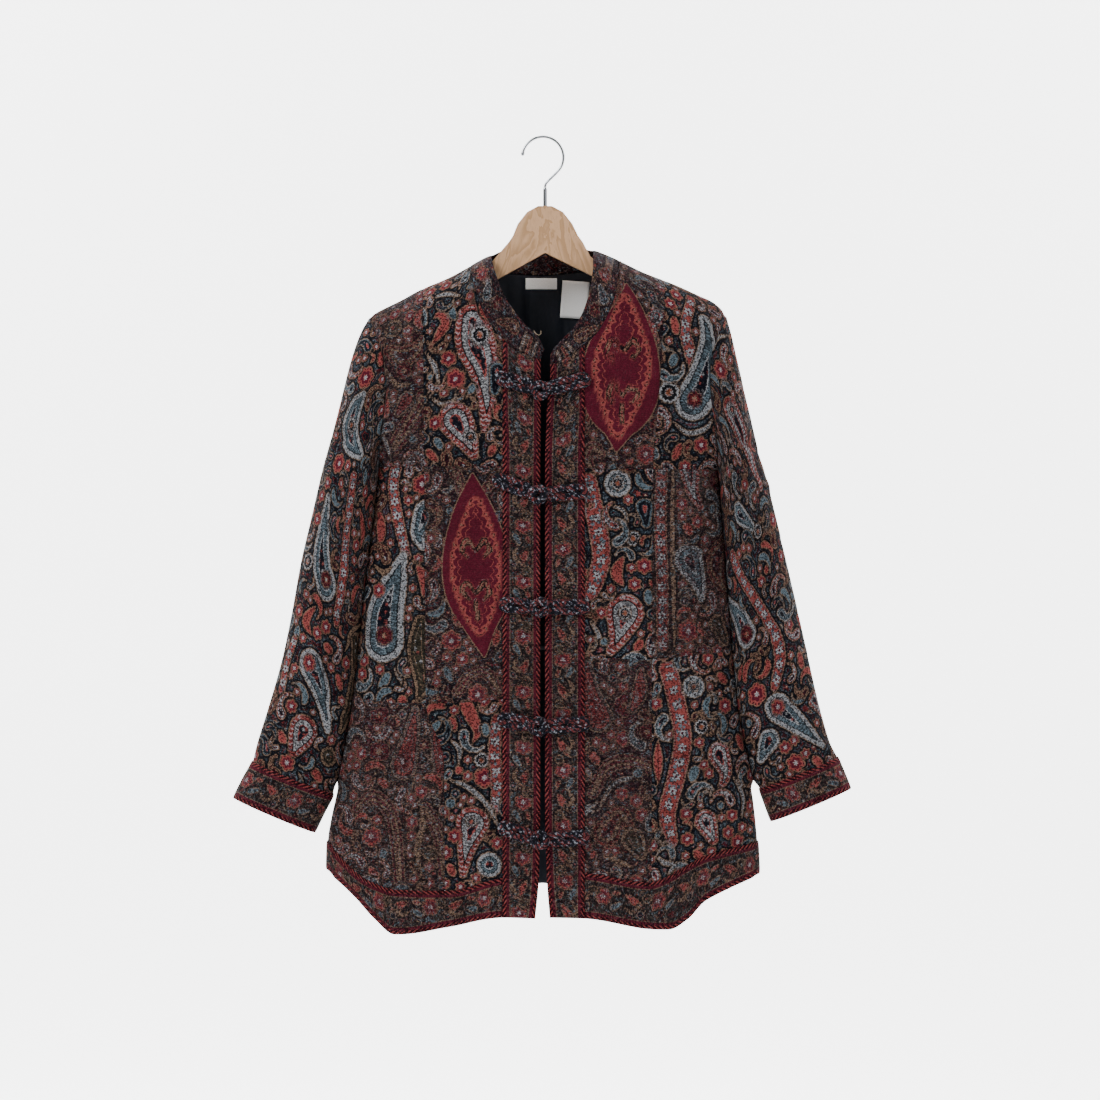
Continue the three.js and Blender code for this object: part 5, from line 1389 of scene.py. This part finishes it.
BACK_CREASES = [
    (9, -2.6, 376, 340, 392, 400, 400, 470), (9, -2.5, 714, 340, 698, 402, 688, 468),
    (14, 2.2, 470, 330, 462, 430, 470, 540), (15, -2.4, 600, 360, 610, 470, 604, 600),
    (12, 2.0, 430, 520, 420, 640, 410, 770), (14, -2.3, 500, 560, 494, 680, 486, 800),
    (11, 1.9, 650, 560, 660, 660, 672, 790), (13, -2.0, 560, 640, 566, 730, 574, 830),
    (8, 1.4, 430, 300, 470, 322, 500, 360), (8, 1.4, 660, 300, 620, 324, 596, 364),
    (10, -1.8, 380, 600, 368, 690, 358, 770), (10, -1.8, 706, 620, 716, 700, 728, 780),
]
RIGHT_SLEEVE_CREASES = [
    (6, -3.0, 372, 420, 350, 436, 330, 440), (7, 2.2, 374, 452, 352, 470, 326, 478),
    (6, -2.6, 366, 520, 344, 534, 318, 532), (7, 2.0, 372, 556, 346, 574, 314, 570),
    (6, -2.8, 364, 600, 340, 612, 306, 606), (7, 2.2, 358, 640, 330, 652, 296, 644),
    (6, -2.4, 352, 690, 320, 704, 290, 694), (6, 1.8, 346, 736, 318, 744, 284, 730),
    (9, -2.0, 352, 380, 342, 440, 336, 520), (8, 1.8, 330, 560, 318, 640, 306, 720),
    (8, -1.9, 342, 600, 330, 680, 316, 760),
]
LEFT_SLEEVE_CREASES = [
    (6, -3.0, 724, 430, 748, 444, 768, 446), (7, 2.2, 724, 468, 750, 482, 776, 488),
    (6, -2.6, 732, 530, 756, 542, 784, 540), (7, 2.0, 728, 566, 756, 582, 790, 576),
    (6, -2.8, 738, 610, 764, 622, 800, 614), (7, 2.2, 744, 648, 772, 660, 808, 650),
    (6, -2.4, 750, 694, 782, 708, 816, 700), (6, 1.8, 762, 740, 790, 746, 822, 736),
    (9, -2.0, 744, 380, 756, 446, 766, 520), (8, 1.8, 768, 560, 784, 640, 800, 720),
    (8, -1.9, 756, 600, 772, 680, 790, 760),
]
SLEEVE_BACK_CREASES = {
    "right": [
        (7, -2.6, 376, 470, 350, 450, 324, 452), (8, 2.1, 370, 540, 342, 524, 314, 530),
        (7, -2.4, 364, 620, 336, 604, 304, 612), (8, 1.9, 356, 690, 326, 676, 294, 682),
        (10, -2.0, 346, 420, 330, 540, 318, 660),
    ],
    "left": [
        (7, -2.6, 722, 476, 748, 456, 774, 458), (8, 2.1, 728, 546, 756, 530, 784, 536),
        (7, -2.4, 736, 624, 764, 608, 798, 616), (8, 1.9, 746, 696, 776, 680, 810, 686),
        (10, -2.0, 750, 420, 768, 540, 784, 660),
    ],
}


# The pieces of cloth

def declare(obj, panel):
    """A sheet's cut: its widest and longest measure and its area, lying flat."""
    grid = panel.grid * MM
    if panel.wrap:
        grid = np.concatenate([grid, grid[:, :1]], axis=1)
    width = arc_lengths(grid, 1)[:, -1].max()
    length = arc_lengths(grid, 0)[-1].max()
    a = np.cross(grid[1:, :-1] - grid[:-1, :-1], grid[:-1, 1:] - grid[:-1, :-1])
    b = np.cross(grid[1:, :-1] - grid[1:, 1:], grid[:-1, 1:] - grid[1:, 1:])
    area = 0.5 * (np.linalg.norm(a, axis=-1).sum() + np.linalg.norm(b, axis=-1).sum())
    area = min(area, 0.999 * width * length)
    print(f"CUT {obj.name} {width * 1000:.0f} x {length * 1000:.0f} mm, {area * 1e4:.0f} cm2")


def place(obj, slot, *nodes):
    """Puts a piece on the jacket's body, in the place of CAD nodes; the slot is not used."""
    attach(obj, BODY)
    if nodes:
        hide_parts(*nodes)
    return obj


front = {"right": front_panel(RIGHT, RIGHT_FRONT_CREASES),
         "left": front_panel(LEFT, LEFT_FRONT_CREASES)}
back = back_panel(BACK_CREASES)
sleeves = {
    "right": sleeve_panel(RIGHT, front["right"], back, RIGHT_SLEEVE_CREASES, SLEEVE_BACK_CREASES["right"]),
    "left": sleeve_panel(LEFT, front["left"], back, LEFT_SLEEVE_CREASES, SLEEVE_BACK_CREASES["left"]),
}
collar = collar_panel(front["right"], front["left"], back)
underarm_at, lower_at, band_at, hem_at = (sum(FRONT_ROWS[:row]) for row in
                                          (UNDERARM_ROW, LOWER_SEAM_ROW, BAND_ROW, HEM_ROW))
placket_column = sum(FRONT_COLUMNS[0])
seam_column = FRONT_CORNER + sum(FRONT_COLUMNS[2])
last_column = front["right"].grid.shape[1] - 1
for panel in (*front.values(), back):
    level_coordinates(panel, underarm_at)
for panel in sleeves.values():
    sleeve_coordinates(panel)

PATCH_ROWS = {"upper": (0, underarm_at), "middle": (underarm_at, lower_at), "lower": (lower_at, hem_at)}
PATCH_COLUMNS = {"inner": (0, seam_column), "outer": (seam_column, last_column)}
GROUND_SLOTS = {"navy": "navy_paisley", "mottle": "burgundy_mottle", "burgundy": "burgundy_medallion",
                "olive": "olive_arches"}
PATCH_GROUNDS = {
    "right_upper_inner": "navy", "right_upper_outer": "mottle", "right_middle_inner": "burgundy",
    "right_middle_outer": "navy", "right_lower_inner": "navy", "right_lower_outer": "olive",
    "left_upper_inner": "burgundy", "left_upper_outer": "navy", "left_middle_inner": "navy",
    "left_middle_outer": "olive", "left_lower_inner": "mottle", "left_lower_outer": "navy",
}


def dress(name, panel, low, high, materials, dips, fields, slot, node):
    """Makes a sheet of cloth, puts it in the place of its CAD node and declares its cut."""
    obj = cloth(name, panel, low, high, materials, dips, fields)
    place(obj, slot, node)
    declare(obj, panel)


def blots_on(panel, name, mask):
    """Blots of a patch, each in cloth coordinates."""
    out = []
    for tone, bu, bv, radius in BLOTS.get(name, ()):
        _, point = on_cloth(f"leaf {bu} {bv} 1", panel, mask)
        out.append((tone, point[0, 0], point[0, 1], radius * UNIT))
    return out


def draw_in(part, row, column):
    """Draws a patch in by a hair at its seams, so that neighbours don't share a face."""
    def pull(edge, beside):
        return edge + unit(beside - edge) * SEAM_DRAW
    if row != "upper":
        part.grid[0] = pull(part.grid[0], part.grid[1])
    if row != "lower":
        part.grid[-1] = pull(part.grid[-1], part.grid[-2])
    edge, beside = (0, 1) if column == "outer" else (-1, -2)
    part.grid[:, edge] = pull(part.grid[:, edge], part.grid[:, beside])
    return part


def make_patches():
    for side, panel in front.items():
        everywhere = np.ones(panel.u.shape, bool)
        for row, (r0, r1) in PATCH_ROWS.items():
            for column, (c0, c1) in PATCH_COLUMNS.items():
                key = f"{side}_{row}_{column}"
                part = panel.part(r0, r1, c0, c1)
                figures = [on_cloth(entry, panel, everywhere) for entry in with_mirrors(FIGURES[key])]
                ground = PATCH_GROUNDS[key]
                fields = weave_fields(part, ground, figures, blots_on(panel, key, everywhere),
                                      seed=len(key) + r0 + c0)
                dips = {"top": 0.9 if row != "upper" else 0.5, "bottom": 0.9 if row != "lower" else 0.4,
                        "end": 0.9, "start": 0.9 if column == "outer" else 0.4}
                dress(f"patch_{key}", draw_in(part, row, column), -CLOTH, 0, [TAPESTRY, SATIN], dips, fields,
                      GROUND_SLOTS[ground], f"front_{key}")


def strip_edges(panel, across_rows):
    """For each point of a band: its distance from one long edge, from the other, and its way along."""
    axis = 0 if across_rows else 1
    across = arc_lengths(panel.grid, axis)
    total = np.take(across, [-1], axis=axis)
    way = arc_lengths(panel.grid, 1 - axis).mean(axis=axis, keepdims=True) + 0 * across
    return across, total - across, way


# Figures along the bands, repeated: style, then along, across (0 to 1) and radius, in millimetres
BORDER_REPEAT = 64.0
BORDER_FIGURES = [
    ("leaf", [(6, 0.34, 1.6), (16, 0.46, 4.6), (26, 0.66, 2.0)]), ("rosette", [(42, 0.45, 8.2)]),
    ("dark", [(30, 0.36, 5.0)]), ("blue", [(54, 0.66, 3.6), (62, 0.56, 2.4)]), ("pale", [(22, 0.72, 4.2)]),
    ("leaf", [(56, 0.34, 2.6), (62, 0.3, 1.6)]), ("tan", [(4, 0.62, 1.2), (12, 0.7, 1.8), (20, 0.56, 1.2)]),
]


def band_fields(panel, across_rows, shift):
    """Fields of a border band: a floral repeat between ropes and stripes along both long edges."""
    near, far, way = strip_edges(panel, across_rows)
    panel.u, panel.v = near.copy(), way.copy()
    figures = []
    length, width = float(way.max()), float(np.median(near + far))
    for k in range(int(length / BORDER_REPEAT) + 2):
        for style, points in BORDER_FIGURES:
            rows = [(width * b, a + (k - 0.5) * BORDER_REPEAT + shift, r) for a, b, r in points]
            figures.append((style, smooth_line(np.array(rows))))
    return weave_fields(panel, "border", figures, (), np.stack([near, far, way], axis=-1))


def make_band(name, panel, dips, across_rows, shift, node):
    dress(name, panel, GAP, GAP + TRIM, [BORDER, SATIN], dips, band_fields(panel, across_rows, shift),
          "border_band", node)


def make_bands():
    ends = {"top": 0.5, "bottom": 0.5}
    for side, panel in front.items():
        strip = panel.part(0, hem_at, 0, placket_column)
        strip.grid[0] += unit(strip.grid[1] - strip.grid[0]) * 2 * GAP
        make_band(f"placket_cloth_{side}", strip, {**ends, "start": 0.5, "end": 0.5}, False,
                  0 if side == "right" else 21, f"placket_{side}")
        band = panel.part(band_at, hem_at, placket_column, last_column)
        band.grid[:, 0] += unit(band.grid[:, 1] - band.grid[:, 0]) * GAP
        make_band(f"hem_cloth_front_{side}", band, {**ends, "start": 0.4}, True, 11,
                  f"hem_band_front_{side}")
        sleeve = sleeves[side]
        rings, points = sleeve.grid.shape[:2]
        cuff = sleeve.part(sum(SLEEVE_ROWS[:CUFF_RING]), rings - 1, 0, points - 1)
        make_band(f"cuff_cloth_{side}", cuff, ends, True, 5, f"cuff_band_{side}")
    rows, columns = back.grid.shape[:2]
    band = back.part(sum(BACK_ROWS[:BAND_ROW]), rows - 1, 0, columns - 1)
    make_band("hem_cloth_back", band, ends, True, 30, "hem_band_back")


def make_back():
    everywhere = np.ones(back.u.shape, bool)
    figures = [on_cloth(entry, back, everywhere) for entry in with_mirrors(BACK_FIGURES)]
    dress("back_cloth", back, -CLOTH, 0, [TAPESTRY, SATIN], {"top": 0.5, "bottom": 0.4},
          weave_fields(back, "navy", figures, seed=5), "navy_paisley", "back")


def make_sleeves():
    """The same figures lie on the front and on the back of a sleeve."""
    for side, panel in sleeves.items():
        y = panel.grid[..., 1]
        figures = [on_cloth(entry, panel, mask) for mask in (y < -2, y > 2)
                   for entry in with_mirrors(SLEEVE_FIGURES[side])]
        dress(f"sleeve_cloth_{side}", panel, -CLOTH, 0, [TAPESTRY, SATIN], {"top": 0.7, "bottom": 0.4},
              weave_fields(panel, "sleeve", figures, seed=9), "sleeve_paisley", f"sleeve_{side}")


# Figures of the collar, repeated from its other end: style, then along, down and radius in millimetres
COLLAR_FIGURES = [
    ("line", [(12, 8, 1.6), (12, 30, 1.6)]), ("leaf", [(20, 8, 1.8), (20, 30, 1.8)]),
    ("line", [(28, 8, 1.6), (28, 30, 1.6)]), ("brick", [(46, 14, 7.5), (58, 20, 4.0), (66, 26, 2.0)]),
    ("wine", [(80, 13, 6.5)]), ("cream", [(98, 20, 7), (108, 12, 3)]), ("rosette", [(124, 16, 7)]),
    ("brick", [(142, 20, 7), (154, 12, 3)]), ("blue", [(166, 14, 4), (172, 22, 3)]),
    ("wine", [(186, 18, 7)]), ("cream", [(206, 14, 7), (218, 22, 3)]),
]


def make_collar():
    """Both faces of the collar show the weave."""
    collar.u = np.tile(arc_lengths(collar.grid, 1).mean(axis=0)[None], (collar.grid.shape[0], 1))
    collar.v = arc_lengths(collar.grid, 0)
    length = collar.u.max()
    figures = []
    for style, points in COLLAR_FIGURES:
        row = np.array(points, float)
        for line in (row, row * [-1, 1, 1] + [length, 0, 0]):
            figures.append((style, smooth_line(line)))
    dress("collar_cloth", collar, -COLLAR_CLOTH, 0, [BORDER, BORDER],
          {"top": 0.8, "bottom": 0.3, "start": 0.6, "end": 0.6}, weave_fields(collar, "collar", figures),
          "burgundy_mottle", "collar")


def make_lining():
    """The lining with a pleat down its middle, and the two labels on it."""
    panel = lining_panel()
    x = panel.grid[..., 0]
    pleat = 0.9 * (ease((24 - np.abs(x)) / 5) - 0.5 * np.exp(-((np.abs(x) - 26) / 3) ** 2))
    panel.grid -= panel.dirs * pleat[..., None]
    dress("lining_cloth", panel, -LINING, 0, [SATIN, SATIN], {"top": 0.3, "bottom": 0.3}, None,
          "lining_satin", "lining_back")
    for name, *spot in (("label_main", -1.5, -168, 37, 13, 0), ("label_care", 38, -187, 32, 44, 0.07)):
        dress(f"{name}_cloth", label_panel(*spot), 0, LABEL, [WHITE_CLOTH, WHITE_CLOTH],
              {"top": 0.12, "bottom": 0.12}, None, "label_white", name)


# Frogs

KNOT_RADIUS, KNOT_HALF, FROG_LIFT = 8.5, 6.5, TRIM + 2 * GAP + 0.1
CORD_RADIUS, CORD_APART, CORD_FLAT = 4.45, 4.75, 0.62
# X and Z of each knot, of the outer end on the wearer's right and of that on the left
FROGS = [
    (-2, -297, -51, -282, 52, -284), (-5, -418, -54, -400, 49, -414), (-3, -548, -47, -545, 51, -548),
    (-5, -686, -48, -677, 51, -683), (-3, -817, -48, -802, 51, -814),
]


def frog_path(outer_x, outer_z, knot_x, knot_z):
    """Out along the upper cord, round the outer end and back along the lower cord, as it lies."""
    away = math.hypot(outer_x - knot_x, outer_z - knot_z)
    dx, dz = (outer_x - knot_x) / away, (outer_z - knot_z) / away
    start, stop = KNOT_RADIUS - 0.6, away - 4.9
    s = np.linspace(start, stop, 22)
    apart = CORD_APART * (0.55 + 0.45 * ease((s - start) / 10))
    turn = np.radians(np.linspace(90, -90, 13)[1:-1])
    along = np.concatenate([s, stop + CORD_APART * np.cos(turn), s[::-1]])
    across = np.concatenate([apart, CORD_APART * np.sin(turn), -apart[::-1]])
    x = knot_x + dx * along - dz * across
    z = knot_z + dz * along + dx * across
    y = -(FROG_LIFT + body_depth(FRONT, x, z) + 3.0)
    return np.stack([x, y, z], axis=1)


def twisted(i, turn):
    """Outline of ring i of a cord of three strands, turned a little further from ring to ring."""
    return 1 + 0.085 * np.cos(3 * turn - i * 0.62)


def knot_curve(count=150):
    """A flat basket knot: three lobes wound twice round, passing over and under."""
    s = np.linspace(0, 2 * np.pi, count, endpoint=False)
    reach = 6.9 + 1.9 * np.cos(3 * s)
    x = reach * np.cos(2 * s)
    z = reach * np.sin(2 * s)
    y = 2.0 * np.sin(3 * s + 0.4) - 1.0
    return np.stack([x, y, z], axis=1)


def make_frogs():
    for i, (kx, kz, rx, rz, lx, lz) in enumerate(FROGS, 1):
        for side, ex, ez in (("right", rx, rz), ("left", lx, lz)):
            cord = tube(f"frog_loop_{side}_{i}", frog_path(ex, ez, kx, kz), CORD_RADIUS, FROG, 14, False,
                        twisted, CORD_FLAT)
            place(cord, "frog_cloth", f"frog_cord_{side}_{i}")
        middle = float(body_depth(FRONT, kx, kz)) + FROG_LIFT + KNOT_HALF
        x, y, z = knot_curve().T
        angle = math.radians(17 * i)
        knot = np.stack([kx + x * math.cos(angle) - z * math.sin(angle), 0.9 * y - middle,
                         kz + x * math.sin(angle) + z * math.cos(angle)], axis=1)
        obj = tube(f"frog_button_{i}", knot, 3.5, FROG, 12, True, twisted)
        place(obj, "frog_cloth", f"frog_knot_{i}")


def make_eye_loop():
    """Small thread eye on the collar's front corner."""
    x, z = seen(np.array([534, 536, 539, 541, 541]), np.array([333, 336, 337.5, 336, 333]))
    y = -body_depth(FRONT, x, z - 8) - 2.6
    place(tube("eye_loop", np.stack([x, y, z], axis=1), 0.55, THREAD, 8), "frog_cloth")


# Hanger

def make_hanger():
    """The CAD board with soft edges, and the hook's wire with its ferrule."""
    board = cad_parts["hanger_board"]
    board.data.materials.clear()
    board.data.materials.append(WOOD)
    bevel = board.modifiers.new("soft_edges", "BEVEL")
    bevel.width, bevel.segments, bevel.limit_method = 2.2 * MM, 4, "ANGLE"
    bend = [math.radians(a) for a in range(176, -47, -6)]
    neck = [(12.4, -44.6), (8.2, -48.6), (3.9, -53.6), (3, -57.7)]
    line = [(0.5 + 24 * math.cos(a), -22.5 + 24 * math.sin(a)) for a in bend] + neck
    path = smooth_line(np.array([(x, 0, z) for x, z in line]), 4)
    radius = np.interp(np.arange(len(path)), [0, 1.2, 3, 6, 8, 12], [0.5, 1.6, 2.1, 2.1, 1.5, 1.5])
    place(tube("hook_wire", path, radius, CHROME, 20), "chrome_wire", "hanger_hook")
    profile = [(-79.7, 2.4), (-79.2, 2.4), (-60.2, 2.4), (-59.2, 2.25), (-58.4, 1.9), (-58.0, 1.6)]
    path = np.array([(3, 0, z) for z, _ in profile])
    place(tube("hook_ferrule", path, [r for _, r in profile], CHROME, 28), "chrome_wire", "hanger_ferrule")


make_patches()
make_bands()
make_back()
make_sleeves()
make_collar()
make_lining()
make_frogs()
make_eye_loop()
make_hanger()


# Backdrop, light and camera

def wall_material():
    """A bright wall that is clear from behind, so that views from there show the jacket's back."""
    g = Graph("backdrop")
    soft = g.noise(g.node("ShaderNodeTexCoord").outputs["Object"], 3.0, 2.0)
    wall = g.finish(g.blend(soft, (0.985 * 0.93,) * 3, (0.93,) * 3), 0.9, Emission_Color=(1.0, 1.0, 1.0, 1.0),
                    Emission_Strength=2.6)
    both = g.node("ShaderNodeMixShader")
    g.put(both.inputs[0], g.node("ShaderNodeNewGeometry").outputs["Backfacing"])
    g.put(both.inputs[1], g.shader.outputs[0])
    g.put(both.inputs[2], g.node("ShaderNodeBsdfTransparent").outputs[0])
    g.put(g.output.inputs["Surface"], both.outputs[0])
    return wall


def make_stage():
    """Floor, curve and wall in one sheet; the floor doesn't glow."""
    profile = [(-3.0, -1.25)] + [(0.9 + 0.6 * math.sin(a), -0.65 - 0.6 * math.cos(a))
                                 for a in np.linspace(0, math.pi / 2, 14)] + [(1.5, 3.5)]
    points = [(x, y, z) for y, z in profile for x in (-4.5, 4.5)]
    faces = [[2 * i, 2 * i + 1, 2 * i + 3, 2 * i + 2] for i in range(len(profile) - 1)]
    obj = new_object("backdrop", np.array(points) / MM, faces, None,
                     [wall_material(), plain_cloth("floor", (0.9, 0.9, 0.9))])
    obj.data.polygons[0].material_index = 1


def area_light(name, spot, target, size, power):
    """A square light at a spot, turned to its target."""
    data = bpy.data.lights.new(name, "AREA")
    data.shape, data.size, data.energy = "SQUARE", size, power
    obj = bpy.data.objects.new(name, data)
    obj.location = spot
    obj.rotation_euler = (Vector(target) - Vector(spot)).to_track_quat("-Z", "Y").to_euler()
    bpy.context.scene.collection.objects.link(obj)


def make_lights():
    area_light("key", (-1.9, -2.0, 1.7), (0, 0, -0.45), 1.1, 116)
    area_light("fill", (2.1, -2.4, 0.2), (0, 0, -0.5), 2.0, 26)
    area_light("top", (0.2, -0.3, 2.0), (0, 0, -0.5), 1.4, 30)
    area_light("wall_left", (-1.5, 0.5, 0.9), (-0.3, 1.5, -0.4), 1.2, 42)
    area_light("wall_right", (1.5, 0.5, 0.9), (0.3, 1.5, -0.4), 1.2, 42)
    world = bpy.data.worlds.new("studio")
    bpy.context.scene.world = world
    world.use_nodes = True
    sky = world.node_tree.nodes["Background"]
    sky.inputs[0].default_value, sky.inputs[1].default_value = (0.95, 0.97, 1.0, 1), 0.42


def make_camera():
    """Level with the photo's middle; the hanger's plane fills the frame at the photo's scale."""
    centre = PHOTO / 2
    data = bpy.data.cameras.new("camera")
    data.sensor_fit = "HORIZONTAL"
    data.angle = 2 * math.atan(PHOTO * UNIT * MM / 2 / CAMERA_AWAY)
    camera = bpy.data.objects.new("camera", data)
    camera.location = ((centre - MIDDLE_U) * UNIT * MM, -CAMERA_AWAY, -(centre - HOOK_V) * UNIT * MM)
    camera.rotation_euler = (math.pi / 2, 0, 0)
    bpy.context.scene.collection.objects.link(camera)
    bpy.context.scene.camera = camera


make_stage()
make_lights()
make_camera()
